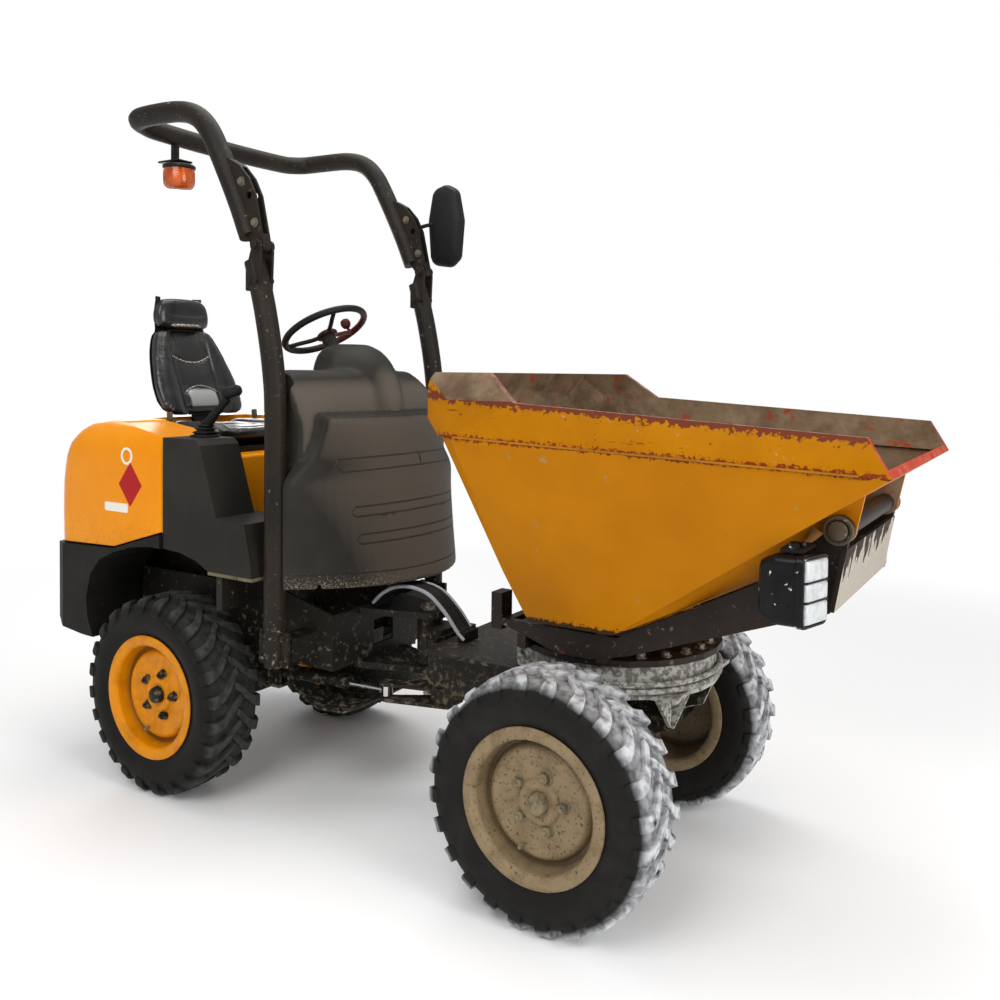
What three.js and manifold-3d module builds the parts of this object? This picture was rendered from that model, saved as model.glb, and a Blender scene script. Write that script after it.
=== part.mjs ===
// Swivel-skip site dumper, articulated in the middle, as a three.js scene graph.
// Millimetres, +X forward, +Y to the left, +Z up. Inside the `machine` group x is measured from
// the rear axle and z from the ground; the outer group puts the middle of the footprint at the origin.
import * as THREE from "three";
import { mergeVertices } from "three/addons/utils/BufferGeometryUtils.js";
import Module from "manifold-3d";

const wasm = await Module();
wasm.setup();

// ---------------------------------------------------------------- driving dimensions

// Fits
const FIT_GAP = 0.3; // between pieces that are bolted or seated on each other
const SHAFT_GAP = 0.5; // round a pin or shaft in its hole
const RUNNING_GAP = 3; // between a hinge tube and its cheeks
const MOVING_GAP = 6; // between pieces that pass each other

// Wheels
const WHEELBASE = 1697;
const TRACK = 990;
const TYRE_DIAMETER = 760;
const TYRE_WIDTH = 250;
const BEAD_WIDTH = 216;
const RIM_SEAT_RADIUS = 205;
const RIM_FLANGE_RADIUS = 238;
const RIM_FLANGE_THICKNESS = 9;
const RIM_WALL = 10;
const RIM_DISC_OFFSET = 50; // inner face of the disc, outboard of the wheel's middle
const RIM_DISC_THICKNESS = 12;
const HUB_CAP_RADIUS = 32;
const WHEEL_SIDES = 24;

// Axles
const AXLE_RADIUS = 55;
const AXLE_HUB_RADIUS = 80;
const DIFFERENTIAL_RADIUS = 125;
const AXLE_PAD_LENGTH = 130;
const AXLE_PAD_WIDTH = 60;

// Rear chassis
const REAR_END_X = -685;
const REAR_FRAME_HALF_WIDTH = 300;
const REAR_FRAME_BOTTOM = 520;
const REAR_FRAME_TOP = 790;
const FRAME_PLATE = 12;
const REAR_FRAME_NOSE_X = 660; // where the side plates turn in towards the pivot
const BUMPER_HALF_WIDTH = 570;
const BUMPER_TOP = 907;
const BUMPER_WALL = 45;
const HOOD_TO_BUMPER_GAP = 8;

// Centre pivot
const PIVOT_X = 890;
const PIVOT_PIN_RADIUS = 24;
const PIVOT_PIN_BOTTOM = 366;
const PIVOT_PIN_TOP = 750;
const PIVOT_TUBE_RADIUS = 50;
const UPPER_LUG_Z = 700;
const LOWER_LUG_Z = 490;
const LUG_THICKNESS = 25;
const LUG_HALF_WIDTH = 70;

// Front chassis
const FRONT_FRAME_HALF_WIDTH = 142;
const FRONT_FRAME_BOTTOM = 470;
const FRONT_FRAME_TOP = 640;
const FRONT_FRAME_END_X = WHEELBASE + 303;
const FRONT_TOP_PLATE_HALF_WIDTH = 255;
const STEER_ARM_PLATE = 12;

// Slew ring
const SLEW_X = 1690;
const RACE_OUTER_RADIUS = 330;
const RACE_INNER_RADIUS = 150;
const RACE_HEIGHT = 45;
const RACE_GAP = 0.8; // between the two races

// Engine cover and seat
const HOOD_HALF_WIDTH = 560;
const HOOD_WALL = 8;
const HOOD_FRONT_X = 18;
const HOOD_BOTTOM_REAR_Z = 915;
const SEAT_RECESS_HALF_WIDTH = 285;
const SEAT_RECESS_REAR_X = -430;
const SEAT_RECESS_Z = 1290;
const COVER_TONGUE_X = 60; // front face of the cover, under the driver's knees
const SEAT_HALF_WIDTH = 235;
const SEAT_REAR_X = -400;
const SEAT_FRONT_X = -25;
const SEAT_PAN_HEIGHT = 24;
const CUSHION_HEIGHT = 118;
const BACKREST_TOP = 1975;

// Driver's station
const CONSOLE_INNER_Y = 370;
const CONSOLE_OUTER_Y = 560;
const CONSOLE_TOP = 1380;
const LEDGE_INNER_Y = 314;
const FLOOR_TOP = 892;
const FLOOR_THICKNESS = 12;
const COWL_BOTTOM = 850;
const COWL_LEDGE_Z = 1478;
const COWL_SHOULDER_Z = 1240;
const COWL_HALF_WIDTH = 500;
const COWL_REAR_X = 540;
const COWL_WALL = 12;
const WHEEL_HUB = { x: 350, z: 1790 };
const STEERING_TILT = 30; // degrees between the steering wheel's axis and the vertical
const STEERING_WHEEL_RADIUS = 186;
const STEERING_RIM_RADIUS = 14;
const STEERING_HUB_BELOW = 8; // the hub's depth below its centre
const COLUMN_RADIUS = 30;
const COLUMN_LENGTH = 340;

// Roll-over hoop
const HOOP_Y = 490;
const HOOP_TUBE_RADIUS = 40;
const HOOP_FOOT_X = 550;
const HOOP_FOOT_Z = 570;
const FOLD_PIN = { x: 480, z: 2092 };
const FOLD_PIN_RADIUS = 10;
const CROSSBAR = { x: -262, z: 2622 };
const HOOP_SIDES = 10;
const BEACON = { x: -200, y: -300, radius: 66, height: 112 };
const BEACON_PLATE_Z = 2498;

// Skip
const SKIP_WALL = 6;
const SKIP_HALF_WIDTH = 560;
const SKIP_FLOOR_HALF_WIDTH = 400;
const SKIP_BOTTOM = 864;
const SKIP_KNEE_X = 1850; // where the flat floor turns up towards the lip
const SKIP_LIP_X = 2648;
const SKIP_LIP_Z = 1402;
const SKIP_RIM = 24; // thickness of the rolled band round the mouth
const SPILL_GUARD_TOP = 1645;
const SPILL_GUARD_FOOT = 1560; // from here up the guard leans over the room
const SPILL_GUARD_LEAN = 0.53;
const SKIP_REAR_X = 1228;
const SKIP_FOLD_Z = 1446; // where the sloping walls meet the band
const BELLY_HALF_WIDTH = 318;

// Tipping hinge and carrier
const TIP_PIN = { x: 2487, z: 1238 };
const TIP_PIN_RADIUS = 28;
const TIP_LUG_RADIUS = 40;
const TIP_LUG_THICKNESS = 15;
const CARRIER_ARM_OUTER_Y = 365;
const CARRIER_ARM_THICKNESS = 25;
const CARRIER_PLATE_RADIUS = 350;
const CARRIER_PLATE_THICKNESS = 20;

// Cylinders: eye centres of each linkage
const TIP_CYLINDER = {
  base: [2420, 0, 1030],
  eye: [1921, 0, 839],
  bore: 18,
  barrel: 32,
  barrelLength: 400,
  rodStart: 60,
};
const STEER_CYLINDER = {
  base: [330, -215, 442],
  eye: [820, -175, 442],
  bore: 14,
  barrel: 26,
  barrelLength: 320,
  rodStart: 150,
};

const CYLINDER_PIN_RADIUS = 10;
const CYLINDER_EAR = 12; // thickness of the ears at each cylinder's base
const BARREL_EYE_HALF = 28;
const ROD_EYE_HALF = 18;

// Hoses over the pivot
const HOSE_RADIUS = 11;

// ---------------------------------------------------------------- values worked out from them

const AXLE_Z = TYRE_DIAMETER / 2;
const WHEEL_Y = TRACK / 2;
const FRONT_TOP_PLATE_TOP = FRONT_FRAME_TOP + FRAME_PLATE;
const TURNING_RACE_BOTTOM = FRONT_TOP_PLATE_TOP + FIT_GAP + RACE_HEIGHT + RACE_GAP;
const CARRIER_BOTTOM = TURNING_RACE_BOTTOM + RACE_HEIGHT + FIT_GAP;
const CARRIER_PLATE_TOP = CARRIER_BOTTOM + CARRIER_PLATE_THICKNESS;
const MIDDLE_X = (REAR_END_X + SKIP_LIP_X) / 2;
const CONSOLE_REAR_X = HOOD_FRONT_X + MOVING_GAP;
const LEDGE_REAR_X = COVER_TONGUE_X + MOVING_GAP;

// ---------------------------------------------------------------- finishes

function finish(color, roughness, metalness) {
  return new THREE.MeshStandardMaterial({ color, roughness, metalness });
}

const YELLOW_PAINT = finish(0xe8980f, 0.4, 0.1);
const BLACK_PAINT = finish(0x2a2521, 0.6, 0.2);
const GREY_PLASTIC = finish(0x474543, 0.6, 0);
const MUDDY_STEEL = finish(0x8e8a80, 0.8, 0.3);
const MUDDY_RIM = finish(0x7d6a50, 0.85, 0.2);
const TYRE_RUBBER = finish(0x26262a, 0.9, 0);
const BLACK_VINYL = finish(0x141416, 0.35, 0);
const BRIGHT_STEEL = finish(0xb8bcc0, 0.25, 1);
const AMBER_LENS = finish(0xe8640c, 0.2, 0);
const HOSE_RUBBER = finish(0x1b1b1d, 0.7, 0);

// ---------------------------------------------------------------- shape helpers

// A closed three.js geometry as a manifold-3d solid.
function solid(geometry) {
  const bare = geometry.index ? geometry.toNonIndexed() : geometry.clone();
  bare.deleteAttribute("normal");
  bare.deleteAttribute("uv");
  const merged = mergeVertices(bare, 1e-3);
  return new wasm.Manifold(
    new wasm.Mesh({
      numProp: 3,
      vertProperties: merged.attributes.position.array,
      triVerts: new Uint32Array(merged.index.array),
    }),
  );
}

function join(...solids) {
  return solids.reduce((whole, piece) => whole.add(piece));
}

function cut(whole, ...tools) {
  return tools.reduce((left, tool) => left.subtract(tool), whole);
}

function box([x0, x1], [y0, y1], [z0, z1]) {
  const geometry = new THREE.BoxGeometry(x1 - x0, y1 - y0, z1 - z0);
  return solid(geometry.translate((x0 + x1) / 2, (y0 + y1) / 2, (z0 + z1) / 2));
}

function outline(points) {
  return new THREE.Shape(points.map(([u, v]) => new THREE.Vector2(u, v)));
}

// A flat outline pushed along its third axis: [x, z] points along y, [x, y] along z, [y, z] along x.
function alongY(points, [y0, y1]) {
  const geometry = new THREE.ExtrudeGeometry(outline(points), { depth: y1 - y0, bevelEnabled: false });
  return solid(geometry.rotateX(Math.PI / 2).translate(0, y1, 0));
}

function alongZ(points, [z0, z1]) {
  const geometry = new THREE.ExtrudeGeometry(outline(points), { depth: z1 - z0, bevelEnabled: false });
  return solid(geometry.translate(0, 0, z0));
}

function alongX(points, [x0, x1]) {
  const geometry = new THREE.ExtrudeGeometry(outline(points), { depth: x1 - x0, bevelEnabled: false });
  const turn = new THREE.Matrix4().makeBasis(
    new THREE.Vector3(0, 1, 0),
    new THREE.Vector3(0, 0, 1),
    new THREE.Vector3(1, 0, 0),
  );
  return solid(geometry.applyMatrix4(turn).translate(x0, 0, 0));
}

// A round bar between two points.
function bar(from, to, radius, sides = 20) {
  const start = new THREE.Vector3(...from);
  const end = new THREE.Vector3(...to);
  const along = end.clone().sub(start);
  const geometry = new THREE.CylinderGeometry(radius, radius, along.length(), sides);
  const turn = new THREE.Quaternion().setFromUnitVectors(new THREE.Vector3(0, 1, 0), along.normalize());
  const middle = start.add(end).multiplyScalar(0.5);
  return solid(geometry.applyQuaternion(turn).translate(middle.x, middle.y, middle.z));
}

// A round disc or boss whose axis is Y, centred at x, z.
function discY(x, z, radius, [y0, y1], sides = 24) {
  return bar([x, y0, z], [x, y1, z], radius, sides);
}

function discZ(x, y, radius, [z0, z1], sides = 24) {
  return bar([x, y, z0], [x, y, z1], radius, sides);
}

// A [radius, height] profile turned round the Y axis, with a facet, not a corner, at the bottom.
function turned(profile) {
  const points = profile.map(([radius, height]) => new THREE.Vector2(radius, height));
  const geometry = new THREE.LatheGeometry(points, WHEEL_SIDES);
  return solid(geometry.rotateY(Math.PI / WHEEL_SIDES));
}

// A round tube along a smooth curve through the points.
function tube(points, radius, sides, steps, tension = 0.5) {
  const path = new THREE.CatmullRomCurve3(
    points.map((point) => new THREE.Vector3(...point)),
    false,
    "catmullrom",
    tension,
  );
  const section = new THREE.Shape();
  section.absarc(0, 0, radius, 0, 2 * Math.PI, false);
  const geometry = new THREE.ExtrudeGeometry(section, {
    steps,
    curveSegments: sides / 2,
    extrudePath: path,
  });
  return solid(geometry);
}

// A closed skin over a stack of outlines that all have the same number of points.
function loft(sections) {
  const count = sections[0].length;
  const corners = sections.flat().flat();
  const faces = [];
  for (let level = 0; level < sections.length - 1; level++) {
    for (let i = 0; i < count; i++) {
      const a = level * count + i;
      const b = level * count + ((i + 1) % count);
      faces.push(a, b, b + count, a, b + count, a + count);
    }
  }
  const last = (sections.length - 1) * count;
  const flatOutline = sections[0].map(([x, y]) => new THREE.Vector2(x, y));
  const topOutline = sections.at(-1).map(([x, y]) => new THREE.Vector2(x, y));
  for (const [a, b, c] of THREE.ShapeUtils.triangulateShape(flatOutline, [])) faces.push(a, c, b);
  for (const [a, b, c] of THREE.ShapeUtils.triangulateShape(topOutline, [])) {
    faces.push(last + a, last + b, last + c);
  }
  const geometry = new THREE.BufferGeometry();
  geometry.setAttribute("position", new THREE.Float32BufferAttribute(corners, 3));
  geometry.setIndex(faces);
  return solid(geometry);
}

function mirrored(piece) {
  return piece.mirror([0, 1, 0]);
}

function bothSides(piece) {
  return join(piece, mirrored(piece));
}

// The solid as a named mesh with its finish.
function node(name, piece, material) {
  const { vertProperties, triVerts, numProp } = piece.getMesh();
  const geometry = new THREE.BufferGeometry();
  const positions = new Float32Array((vertProperties.length / numProp) * 3);
  for (let i = 0; i < positions.length / 3; i++) {
    positions.set(vertProperties.subarray(i * numProp, i * numProp + 3), i * 3);
  }
  geometry.setAttribute("position", new THREE.BufferAttribute(positions, 3));
  geometry.setIndex(new THREE.BufferAttribute(triVerts, 1));
  geometry.computeVertexNormals();
  const mesh = new THREE.Mesh(geometry, material);
  mesh.name = name;
  return mesh;
}

// ---------------------------------------------------------------- wheels

// The outboard side is +Y. The tread's radius is that of its facets, so the tyre stands flat.
function tyre() {
  const tread = TYRE_DIAMETER / 2 / Math.cos(Math.PI / WHEEL_SIDES);
  const bead = RIM_SEAT_RADIUS + FIT_GAP;
  const beadY = BEAD_WIDTH / 2;
  const wide = TYRE_WIDTH / 2;
  const half = [
    [bead, beadY],
    [RIM_FLANGE_RADIUS + 5, beadY],
    [RIM_FLANGE_RADIUS + 50, wide],
    [tread - 45, wide - 3],
    [tread, wide - 28],
  ];
  const other = half.map(([radius, y]) => [radius, -y]).reverse();
  return turned([...other, ...half, other[0]].reverse());
}

function rim() {
  const seat = RIM_SEAT_RADIUS;
  const inside = seat - RIM_WALL;
  const beadY = BEAD_WIDTH / 2 + FIT_GAP;
  const edgeY = beadY + RIM_FLANGE_THICKNESS;
  const discBack = RIM_DISC_OFFSET;
  const discFace = RIM_DISC_OFFSET + RIM_DISC_THICKNESS;
  const profile = [
    [0, discBack],
    [inside, discBack],
    [inside, -edgeY],
    [RIM_FLANGE_RADIUS, -edgeY],
    [RIM_FLANGE_RADIUS, -beadY],
    [seat, -beadY],
    [seat, beadY],
    [RIM_FLANGE_RADIUS, beadY],
    [RIM_FLANGE_RADIUS, edgeY],
    [inside, edgeY],
    [inside, discFace],
    [66, discFace],
    [60, discFace + 10],
    [HUB_CAP_RADIUS, discFace + 10],
    [HUB_CAP_RADIUS, discFace + 28],
    [0, discFace + 30],
  ];
  return turned(profile);
}

// Both wheels of an axle, each turned so that its disc faces outwards.
function wheelPair(end, x, rimFinish) {
  const pair = new THREE.Group();
  for (const [side, direction] of [
    ["right", -1],
    ["left", 1],
  ]) {
    const wheel = new THREE.Group();
    wheel.position.set(x, direction * WHEEL_Y, AXLE_Z);
    wheel.rotation.z = direction > 0 ? 0 : Math.PI;
    wheel.add(node(`${end}_rim_${side}`, rim(), rimFinish));
    wheel.add(node(`${end}_tyre_${side}`, tyre(), TYRE_RUBBER));
    pair.add(wheel);
  }
  return pair;
}

// The axle tube with its differential, hubs inside the rims and pads under the chassis.
function axle(x, padTop) {
  const hubEnd = WHEEL_Y + RIM_DISC_OFFSET - FIT_GAP;
  const hub = bothSides(discY(x, AXLE_Z, AXLE_HUB_RADIUS, [WHEEL_Y - 95, hubEnd]));
  const tubePiece = discY(x, AXLE_Z, AXLE_RADIUS, [-WHEEL_Y + 90, WHEEL_Y - 90]);
  const differential = discY(x, AXLE_Z, DIFFERENTIAL_RADIUS, [-80, 80]);
  const padX = [x - AXLE_PAD_LENGTH / 2, x + AXLE_PAD_LENGTH / 2];
  const padY = [FRONT_FRAME_HALF_WIDTH - AXLE_PAD_WIDTH, REAR_FRAME_HALF_WIDTH];
  const pad = bothSides(box(padX, padY, [AXLE_Z, padTop - FIT_GAP]));
  return join(tubePiece, hub, differential, pad);
}

// ---------------------------------------------------------------- rear chassis

function pivotLug(z) {
  const plate = alongZ(
    [
      [REAR_FRAME_NOSE_X - 20, -150],
      [PIVOT_X, -LUG_HALF_WIDTH],
      [PIVOT_X, LUG_HALF_WIDTH],
      [REAR_FRAME_NOSE_X - 20, 150],
    ],
    [z, z + LUG_THICKNESS],
  );
  const nose = discZ(PIVOT_X, 0, LUG_HALF_WIDTH, [z, z + LUG_THICKNESS]);
  const hole = discZ(PIVOT_X, 0, PIVOT_PIN_RADIUS + FIT_GAP, [z - 1, z + LUG_THICKNESS + 1]);
  return cut(join(plate, nose), hole);
}

function rearFrame() {
  const rearX = REAR_END_X + BUMPER_WALL + FIT_GAP;
  const side = alongY(
    [
      [rearX, REAR_FRAME_BOTTOM + 60],
      [-420, REAR_FRAME_BOTTOM],
      [445, REAR_FRAME_BOTTOM],
      [REAR_FRAME_NOSE_X, LOWER_LUG_Z + LUG_THICKNESS],
      [REAR_FRAME_NOSE_X, UPPER_LUG_Z + LUG_THICKNESS],
      [400, REAR_FRAME_TOP],
      [rearX, REAR_FRAME_TOP],
    ],
    [REAR_FRAME_HALF_WIDTH - FRAME_PLATE, REAR_FRAME_HALF_WIDTH],
  );
  const across = [-REAR_FRAME_HALF_WIDTH, REAR_FRAME_HALF_WIDTH];
  const rearPlate = box([rearX, rearX + FRAME_PLATE], across, [REAR_FRAME_BOTTOM + 60, REAR_FRAME_TOP]);
  const mounts = [-520, -90].map((x) => box([x, x + 60], across, [REAR_FRAME_BOTTOM + 10, 560]));
  const nosePlate = box(
    [REAR_FRAME_NOSE_X - FRAME_PLATE, REAR_FRAME_NOSE_X],
    across,
    [LOWER_LUG_Z + LUG_THICKNESS, UPPER_LUG_Z + LUG_THICKNESS],
  );
  const noseHole = box([REAR_FRAME_NOSE_X - 50, REAR_FRAME_NOSE_X + 1], [-60, 60], [560, 660]);
  const outrigger = bothSides(
    box(
      [HOOP_FOOT_X - 45, HOOP_FOOT_X + 45],
      [REAR_FRAME_HALF_WIDTH - 1, HOOP_Y - HOOP_TUBE_RADIUS - FIT_GAP],
      [HOOP_FOOT_Z + 10, HOOP_FOOT_Z + 90],
    ),
  );
  const bearerZ = [REAR_FRAME_TOP - 40, FLOOR_TOP - FLOOR_THICKNESS - FIT_GAP];
  const floorBearers = bothSides(box([300, 330], [REAR_FRAME_HALF_WIDTH - FRAME_PLATE, 540], bearerZ));
  return join(
    bothSides(side),
    rearPlate,
    ...mounts,
    cut(nosePlate, noseHole),
    pivotLug(UPPER_LUG_Z),
    pivotLug(LOWER_LUG_Z),
    outrigger,
    floorBearers,
    steerBracket(),
  );
}

// The ears that hold the steering cylinder's base, welded to the right-hand side plate.
function steerBracket() {
  const [x, y, z] = STEER_CYLINDER.base;
  const gap = BARREL_EYE_HALF + MOVING_GAP;
  const reach = gap + CYLINDER_EAR;
  const ears = [z + gap, z - reach].map((low) =>
    box([x - 40, x + 45], [y - 75, y + 35], [low, low + CYLINDER_EAR]),
  );
  const web = box([x - 40, x + 45], [y - 75, y - 63], [z - reach, REAR_FRAME_BOTTOM + 20]);
  const pin = discZ(x, y, CYLINDER_PIN_RADIUS, [z - reach - 6, z + reach + 6], 16);
  return join(...ears, web, pin);
}

function pivotPin() {
  const shank = discZ(PIVOT_X, 0, PIVOT_PIN_RADIUS, [PIVOT_PIN_BOTTOM, PIVOT_PIN_TOP], 24);
  const headZ = UPPER_LUG_Z + LUG_THICKNESS + FIT_GAP;
  const nutZ = LOWER_LUG_Z - FIT_GAP;
  const head = discZ(PIVOT_X, 0, PIVOT_PIN_RADIUS + 14, [headZ, headZ + 18], 6);
  const nut = discZ(PIVOT_X, 0, PIVOT_PIN_RADIUS + 14, [nutZ - 22, nutZ], 6);
  return join(shank, head, nut);
}

function bellyGuard() {
  const skin = [
    [418, REAR_FRAME_BOTTOM - FIT_GAP],
    [418, 440],
    [500, 380],
    [580, 352],
    [700, 362],
    [762, 387],
  ];
  const inner = skin.map(([x, z]) => [x + 7, z + 9]).reverse();
  inner[inner.length - 1] = [426, REAR_FRAME_BOTTOM - FIT_GAP];
  const [, y, z] = STEER_CYLINDER.base;
  const slot = box([400, 560], [y - 50, y + 60], [z - 44, z + 44]);
  return cut(alongY([...skin, ...inner], [-290, 290]), slot);
}

// Wrap-round rear bumper: one outline gives the rear wings and the black band over each wheel.
function rearBumper() {
  const side = [
    [REAR_END_X, BUMPER_TOP],
    [REAR_END_X, 640],
    [-664, 592],
    [-614, 560],
    [-470, 545],
    [-395, 543],
    [-430, 620],
    [-440, 700],
    [-412, 800],
    [-352, 868],
    [-262, 908],
    [-150, 940],
    [-40, 952],
    [HOOD_FRONT_X - 4, 950],
    [HOOD_FRONT_X - 4, 1011 - HOOD_TO_BUMPER_GAP],
    [6, 1011 - HOOD_TO_BUMPER_GAP],
    [-274, 929 - HOOD_TO_BUMPER_GAP],
  ];
  const whole = alongY(side, [-BUMPER_HALF_WIDTH, BUMPER_HALF_WIDTH]);
  const bay = box(
    [REAR_END_X + BUMPER_WALL, HOOD_FRONT_X + 10],
    [-REAR_FRAME_HALF_WIDTH - MOVING_GAP, REAR_FRAME_HALF_WIDTH + MOVING_GAP],
    [500, 1100],
  );
  const tongueBay = box(
    [HOOD_FRONT_X - 40, HOOD_FRONT_X + 10],
    [-CONSOLE_INNER_Y, CONSOLE_INNER_Y],
    [500, 1100],
  );
  const corner = 90;
  const plan = alongZ(
    [
      [REAR_END_X + corner, -BUMPER_HALF_WIDTH],
      [HOOD_FRONT_X + 10, -BUMPER_HALF_WIDTH],
      [HOOD_FRONT_X + 10, BUMPER_HALF_WIDTH],
      [REAR_END_X + corner, BUMPER_HALF_WIDTH],
      [REAR_END_X + corner * 0.3, BUMPER_HALF_WIDTH - corner * 0.3],
      [REAR_END_X, BUMPER_HALF_WIDTH - corner],
      [REAR_END_X, -BUMPER_HALF_WIDTH + corner],
      [REAR_END_X + corner * 0.3, -BUMPER_HALF_WIDTH + corner * 0.3],
    ],
    [500, 1100],
  );
  return cut(whole, bay, tongueBay).intersect(plan);
}

function engineBlock() {
  return box([-560, -60], [-210, 210], [560 + FIT_GAP, 1080]);
}

// ---------------------------------------------------------------- engine cover and seat

// Plan outline of the cover at one level, with rounded rear corners.
function hoodPlan(z, rearX, halfWidth, inset) {
  const corner = 110;
  const front = HOOD_FRONT_X - (inset ? HOOD_WALL : 0);
  const rear = rearX + inset;
  const wide = halfWidth - inset;
  return [
    [front, -wide, z],
    [front, wide, z],
    [rear + corner, wide, z],
    [rear + corner * 0.3, wide - corner * 0.3, z],
    [rear, wide - corner, z],
    [rear, -wide + corner, z],
    [rear + corner * 0.3, -wide + corner * 0.3, z],
    [rear + corner, -wide, z],
  ];
}

function hoodBody(inset) {
  const lift = (z) => z - inset;
  return loft([
    hoodPlan(HOOD_BOTTOM_REAR_Z - 30, REAR_END_X + 2, HOOD_HALF_WIDTH, inset),
    hoodPlan(1170, REAR_END_X + 6, HOOD_HALF_WIDTH, inset),
    hoodPlan(lift(1310), REAR_END_X + 45, HOOD_HALF_WIDTH, inset),
    hoodPlan(lift(1385), REAR_END_X + 100, HOOD_HALF_WIDTH - 30, inset),
    hoodPlan(lift(1428), REAR_END_X + 190, HOOD_HALF_WIDTH - 90, inset),
  ]);
}

function engineHood() {
  const sideCut = alongY(
    [
      [REAR_END_X - 20, 800],
      [HOOD_FRONT_X + 20, 800],
      [HOOD_FRONT_X + 20, 1011],
      [6, 1011],
      [-274, 929],
      [REAR_END_X - 20, HOOD_BOTTOM_REAR_Z - 0.5],
    ],
    [-600, 600],
  );
  const topCut = alongY(
    [
      [HOOD_FRONT_X + 1, 1378],
      [HOOD_FRONT_X + 1, 1500],
      [-297, 1500],
      [-297, 1423],
    ],
    [-600, 600],
  );
  const tongueY = [-CONSOLE_INNER_Y + MOVING_GAP, CONSOLE_INNER_Y - MOVING_GAP];
  const tongue = box([HOOD_FRONT_X - 30, COVER_TONGUE_X], tongueY, [FLOOR_TOP + 8, SEAT_RECESS_Z]);
  const recess = box(
    [SEAT_RECESS_REAR_X, COVER_TONGUE_X + 1],
    [-SEAT_RECESS_HALF_WIDTH, SEAT_RECESS_HALF_WIDTH],
    [SEAT_RECESS_Z, 1500],
  );
  const recessPan = box(
    [SEAT_RECESS_REAR_X - HOOD_WALL, COVER_TONGUE_X],
    [-SEAT_RECESS_HALF_WIDTH - HOOD_WALL, SEAT_RECESS_HALF_WIDTH + HOOD_WALL],
    [SEAT_RECESS_Z - HOOD_WALL, 1500],
  );
  const bay = cut(hoodBody(HOOD_WALL), recessPan);
  const tongueBay = box(
    [HOOD_FRONT_X - 31, COVER_TONGUE_X - HOOD_WALL],
    [tongueY[0] + HOOD_WALL, tongueY[1] - HOOD_WALL],
    [800, SEAT_RECESS_Z - HOOD_WALL],
  );
  return cut(join(cut(hoodBody(0), sideCut, topCut), tongue), recess, bay, tongueBay);
}

function seatPan() {
  return box(
    [SEAT_REAR_X - 15, SEAT_FRONT_X - 10],
    [-SEAT_HALF_WIDTH + 20, SEAT_HALF_WIDTH - 20],
    [SEAT_RECESS_Z + FIT_GAP, SEAT_RECESS_Z + SEAT_PAN_HEIGHT],
  );
}

function seatCushion() {
  const bottom = SEAT_RECESS_Z + SEAT_PAN_HEIGHT + FIT_GAP;
  const top = bottom + CUSHION_HEIGHT;
  const section = [
    [SEAT_REAR_X, bottom],
    [SEAT_FRONT_X - 20, bottom],
    [SEAT_FRONT_X, bottom + 30],
    [SEAT_FRONT_X - 14, top - 8],
    [SEAT_FRONT_X - 60, top],
    [SEAT_REAR_X, top - 12],
  ];
  return alongY(section, [-SEAT_HALF_WIDTH, SEAT_HALF_WIDTH]);
}

// The backrest with its headrest: the side outline gives its lean, the front outline its width.
function seatBackrest() {
  const bottom = SEAT_RECESS_Z + SEAT_PAN_HEIGHT + CUSHION_HEIGHT - 4;
  const lean = alongY(
    [
      [SEAT_REAR_X - 14, SEAT_RECESS_Z + 40],
      [SEAT_REAR_X - FIT_GAP, SEAT_RECESS_Z + 40],
      [SEAT_REAR_X - FIT_GAP, bottom],
      [-325, bottom + 12],
      [-362, 1490],
      [-494, 1790],
      [-506, BACKREST_TOP - 15],
      [-524, BACKREST_TOP],
      [-580, BACKREST_TOP - 5],
      [-598, 1900],
      [-586, 1760],
      [-450, 1464],
      [-426, 1438],
    ],
    [-300, 300],
  );
  const width = alongX(
    [
      [-200, SEAT_RECESS_Z],
      [200, SEAT_RECESS_Z],
      [SEAT_HALF_WIDTH, 1440],
      [228, 1600],
      [204, 1700],
      [166, 1800],
      [150, 1920],
      [118, BACKREST_TOP],
      [-118, BACKREST_TOP],
      [-150, 1920],
      [-166, 1800],
      [-204, 1700],
      [-228, 1600],
      [-SEAT_HALF_WIDTH, 1440],
    ],
    [-700, -200],
  );
  return lean.intersect(width);
}

// ---------------------------------------------------------------- driver's station

// The right-hand moulded console: its outer skin, with the low block that makes the side ledge.
function sideConsole() {
  const bottom = FLOOR_TOP + FIT_GAP;
  const upper = alongY(
    [
      [CONSOLE_REAR_X, 952],
      [120, 946],
      [210, 925],
      [276, bottom],
      [503, bottom],
      [498, 940],
      [464, 1085],
      [318, 1095],
      [231, 1358],
      [205, CONSOLE_TOP],
      [CONSOLE_REAR_X, CONSOLE_TOP],
    ],
    [-CONSOLE_OUTER_Y, -CONSOLE_INNER_Y],
  );
  const ledge = alongY(
    [
      [LEDGE_REAR_X, bottom],
      [503, bottom],
      [498, 940],
      [464, 1085],
      [LEDGE_REAR_X, 1100],
    ],
    [-CONSOLE_INNER_Y - 1, -LEDGE_INNER_Y],
  );
  return join(upper, ledge);
}

function floorPlate() {
  const bottom = FLOOR_TOP - FLOOR_THICKNESS;
  const post = HOOP_FOOT_X - HOOP_TUBE_RADIUS - MOVING_GAP;
  const inner = HOOP_Y - HOOP_TUBE_RADIUS - MOVING_GAP;
  return alongZ(
    [
      [LEDGE_REAR_X, -LEDGE_INNER_Y],
      [276, -CONSOLE_OUTER_Y],
      [post, -CONSOLE_OUTER_Y],
      [post, -inner],
      [COWL_REAR_X - FIT_GAP, -inner],
      [COWL_REAR_X - FIT_GAP, inner],
      [post, inner],
      [post, CONSOLE_OUTER_Y],
      [276, CONSOLE_OUTER_Y],
      [LEDGE_REAR_X, LEDGE_INNER_Y],
    ],
    [bottom, FLOOR_TOP],
  );
}

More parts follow.
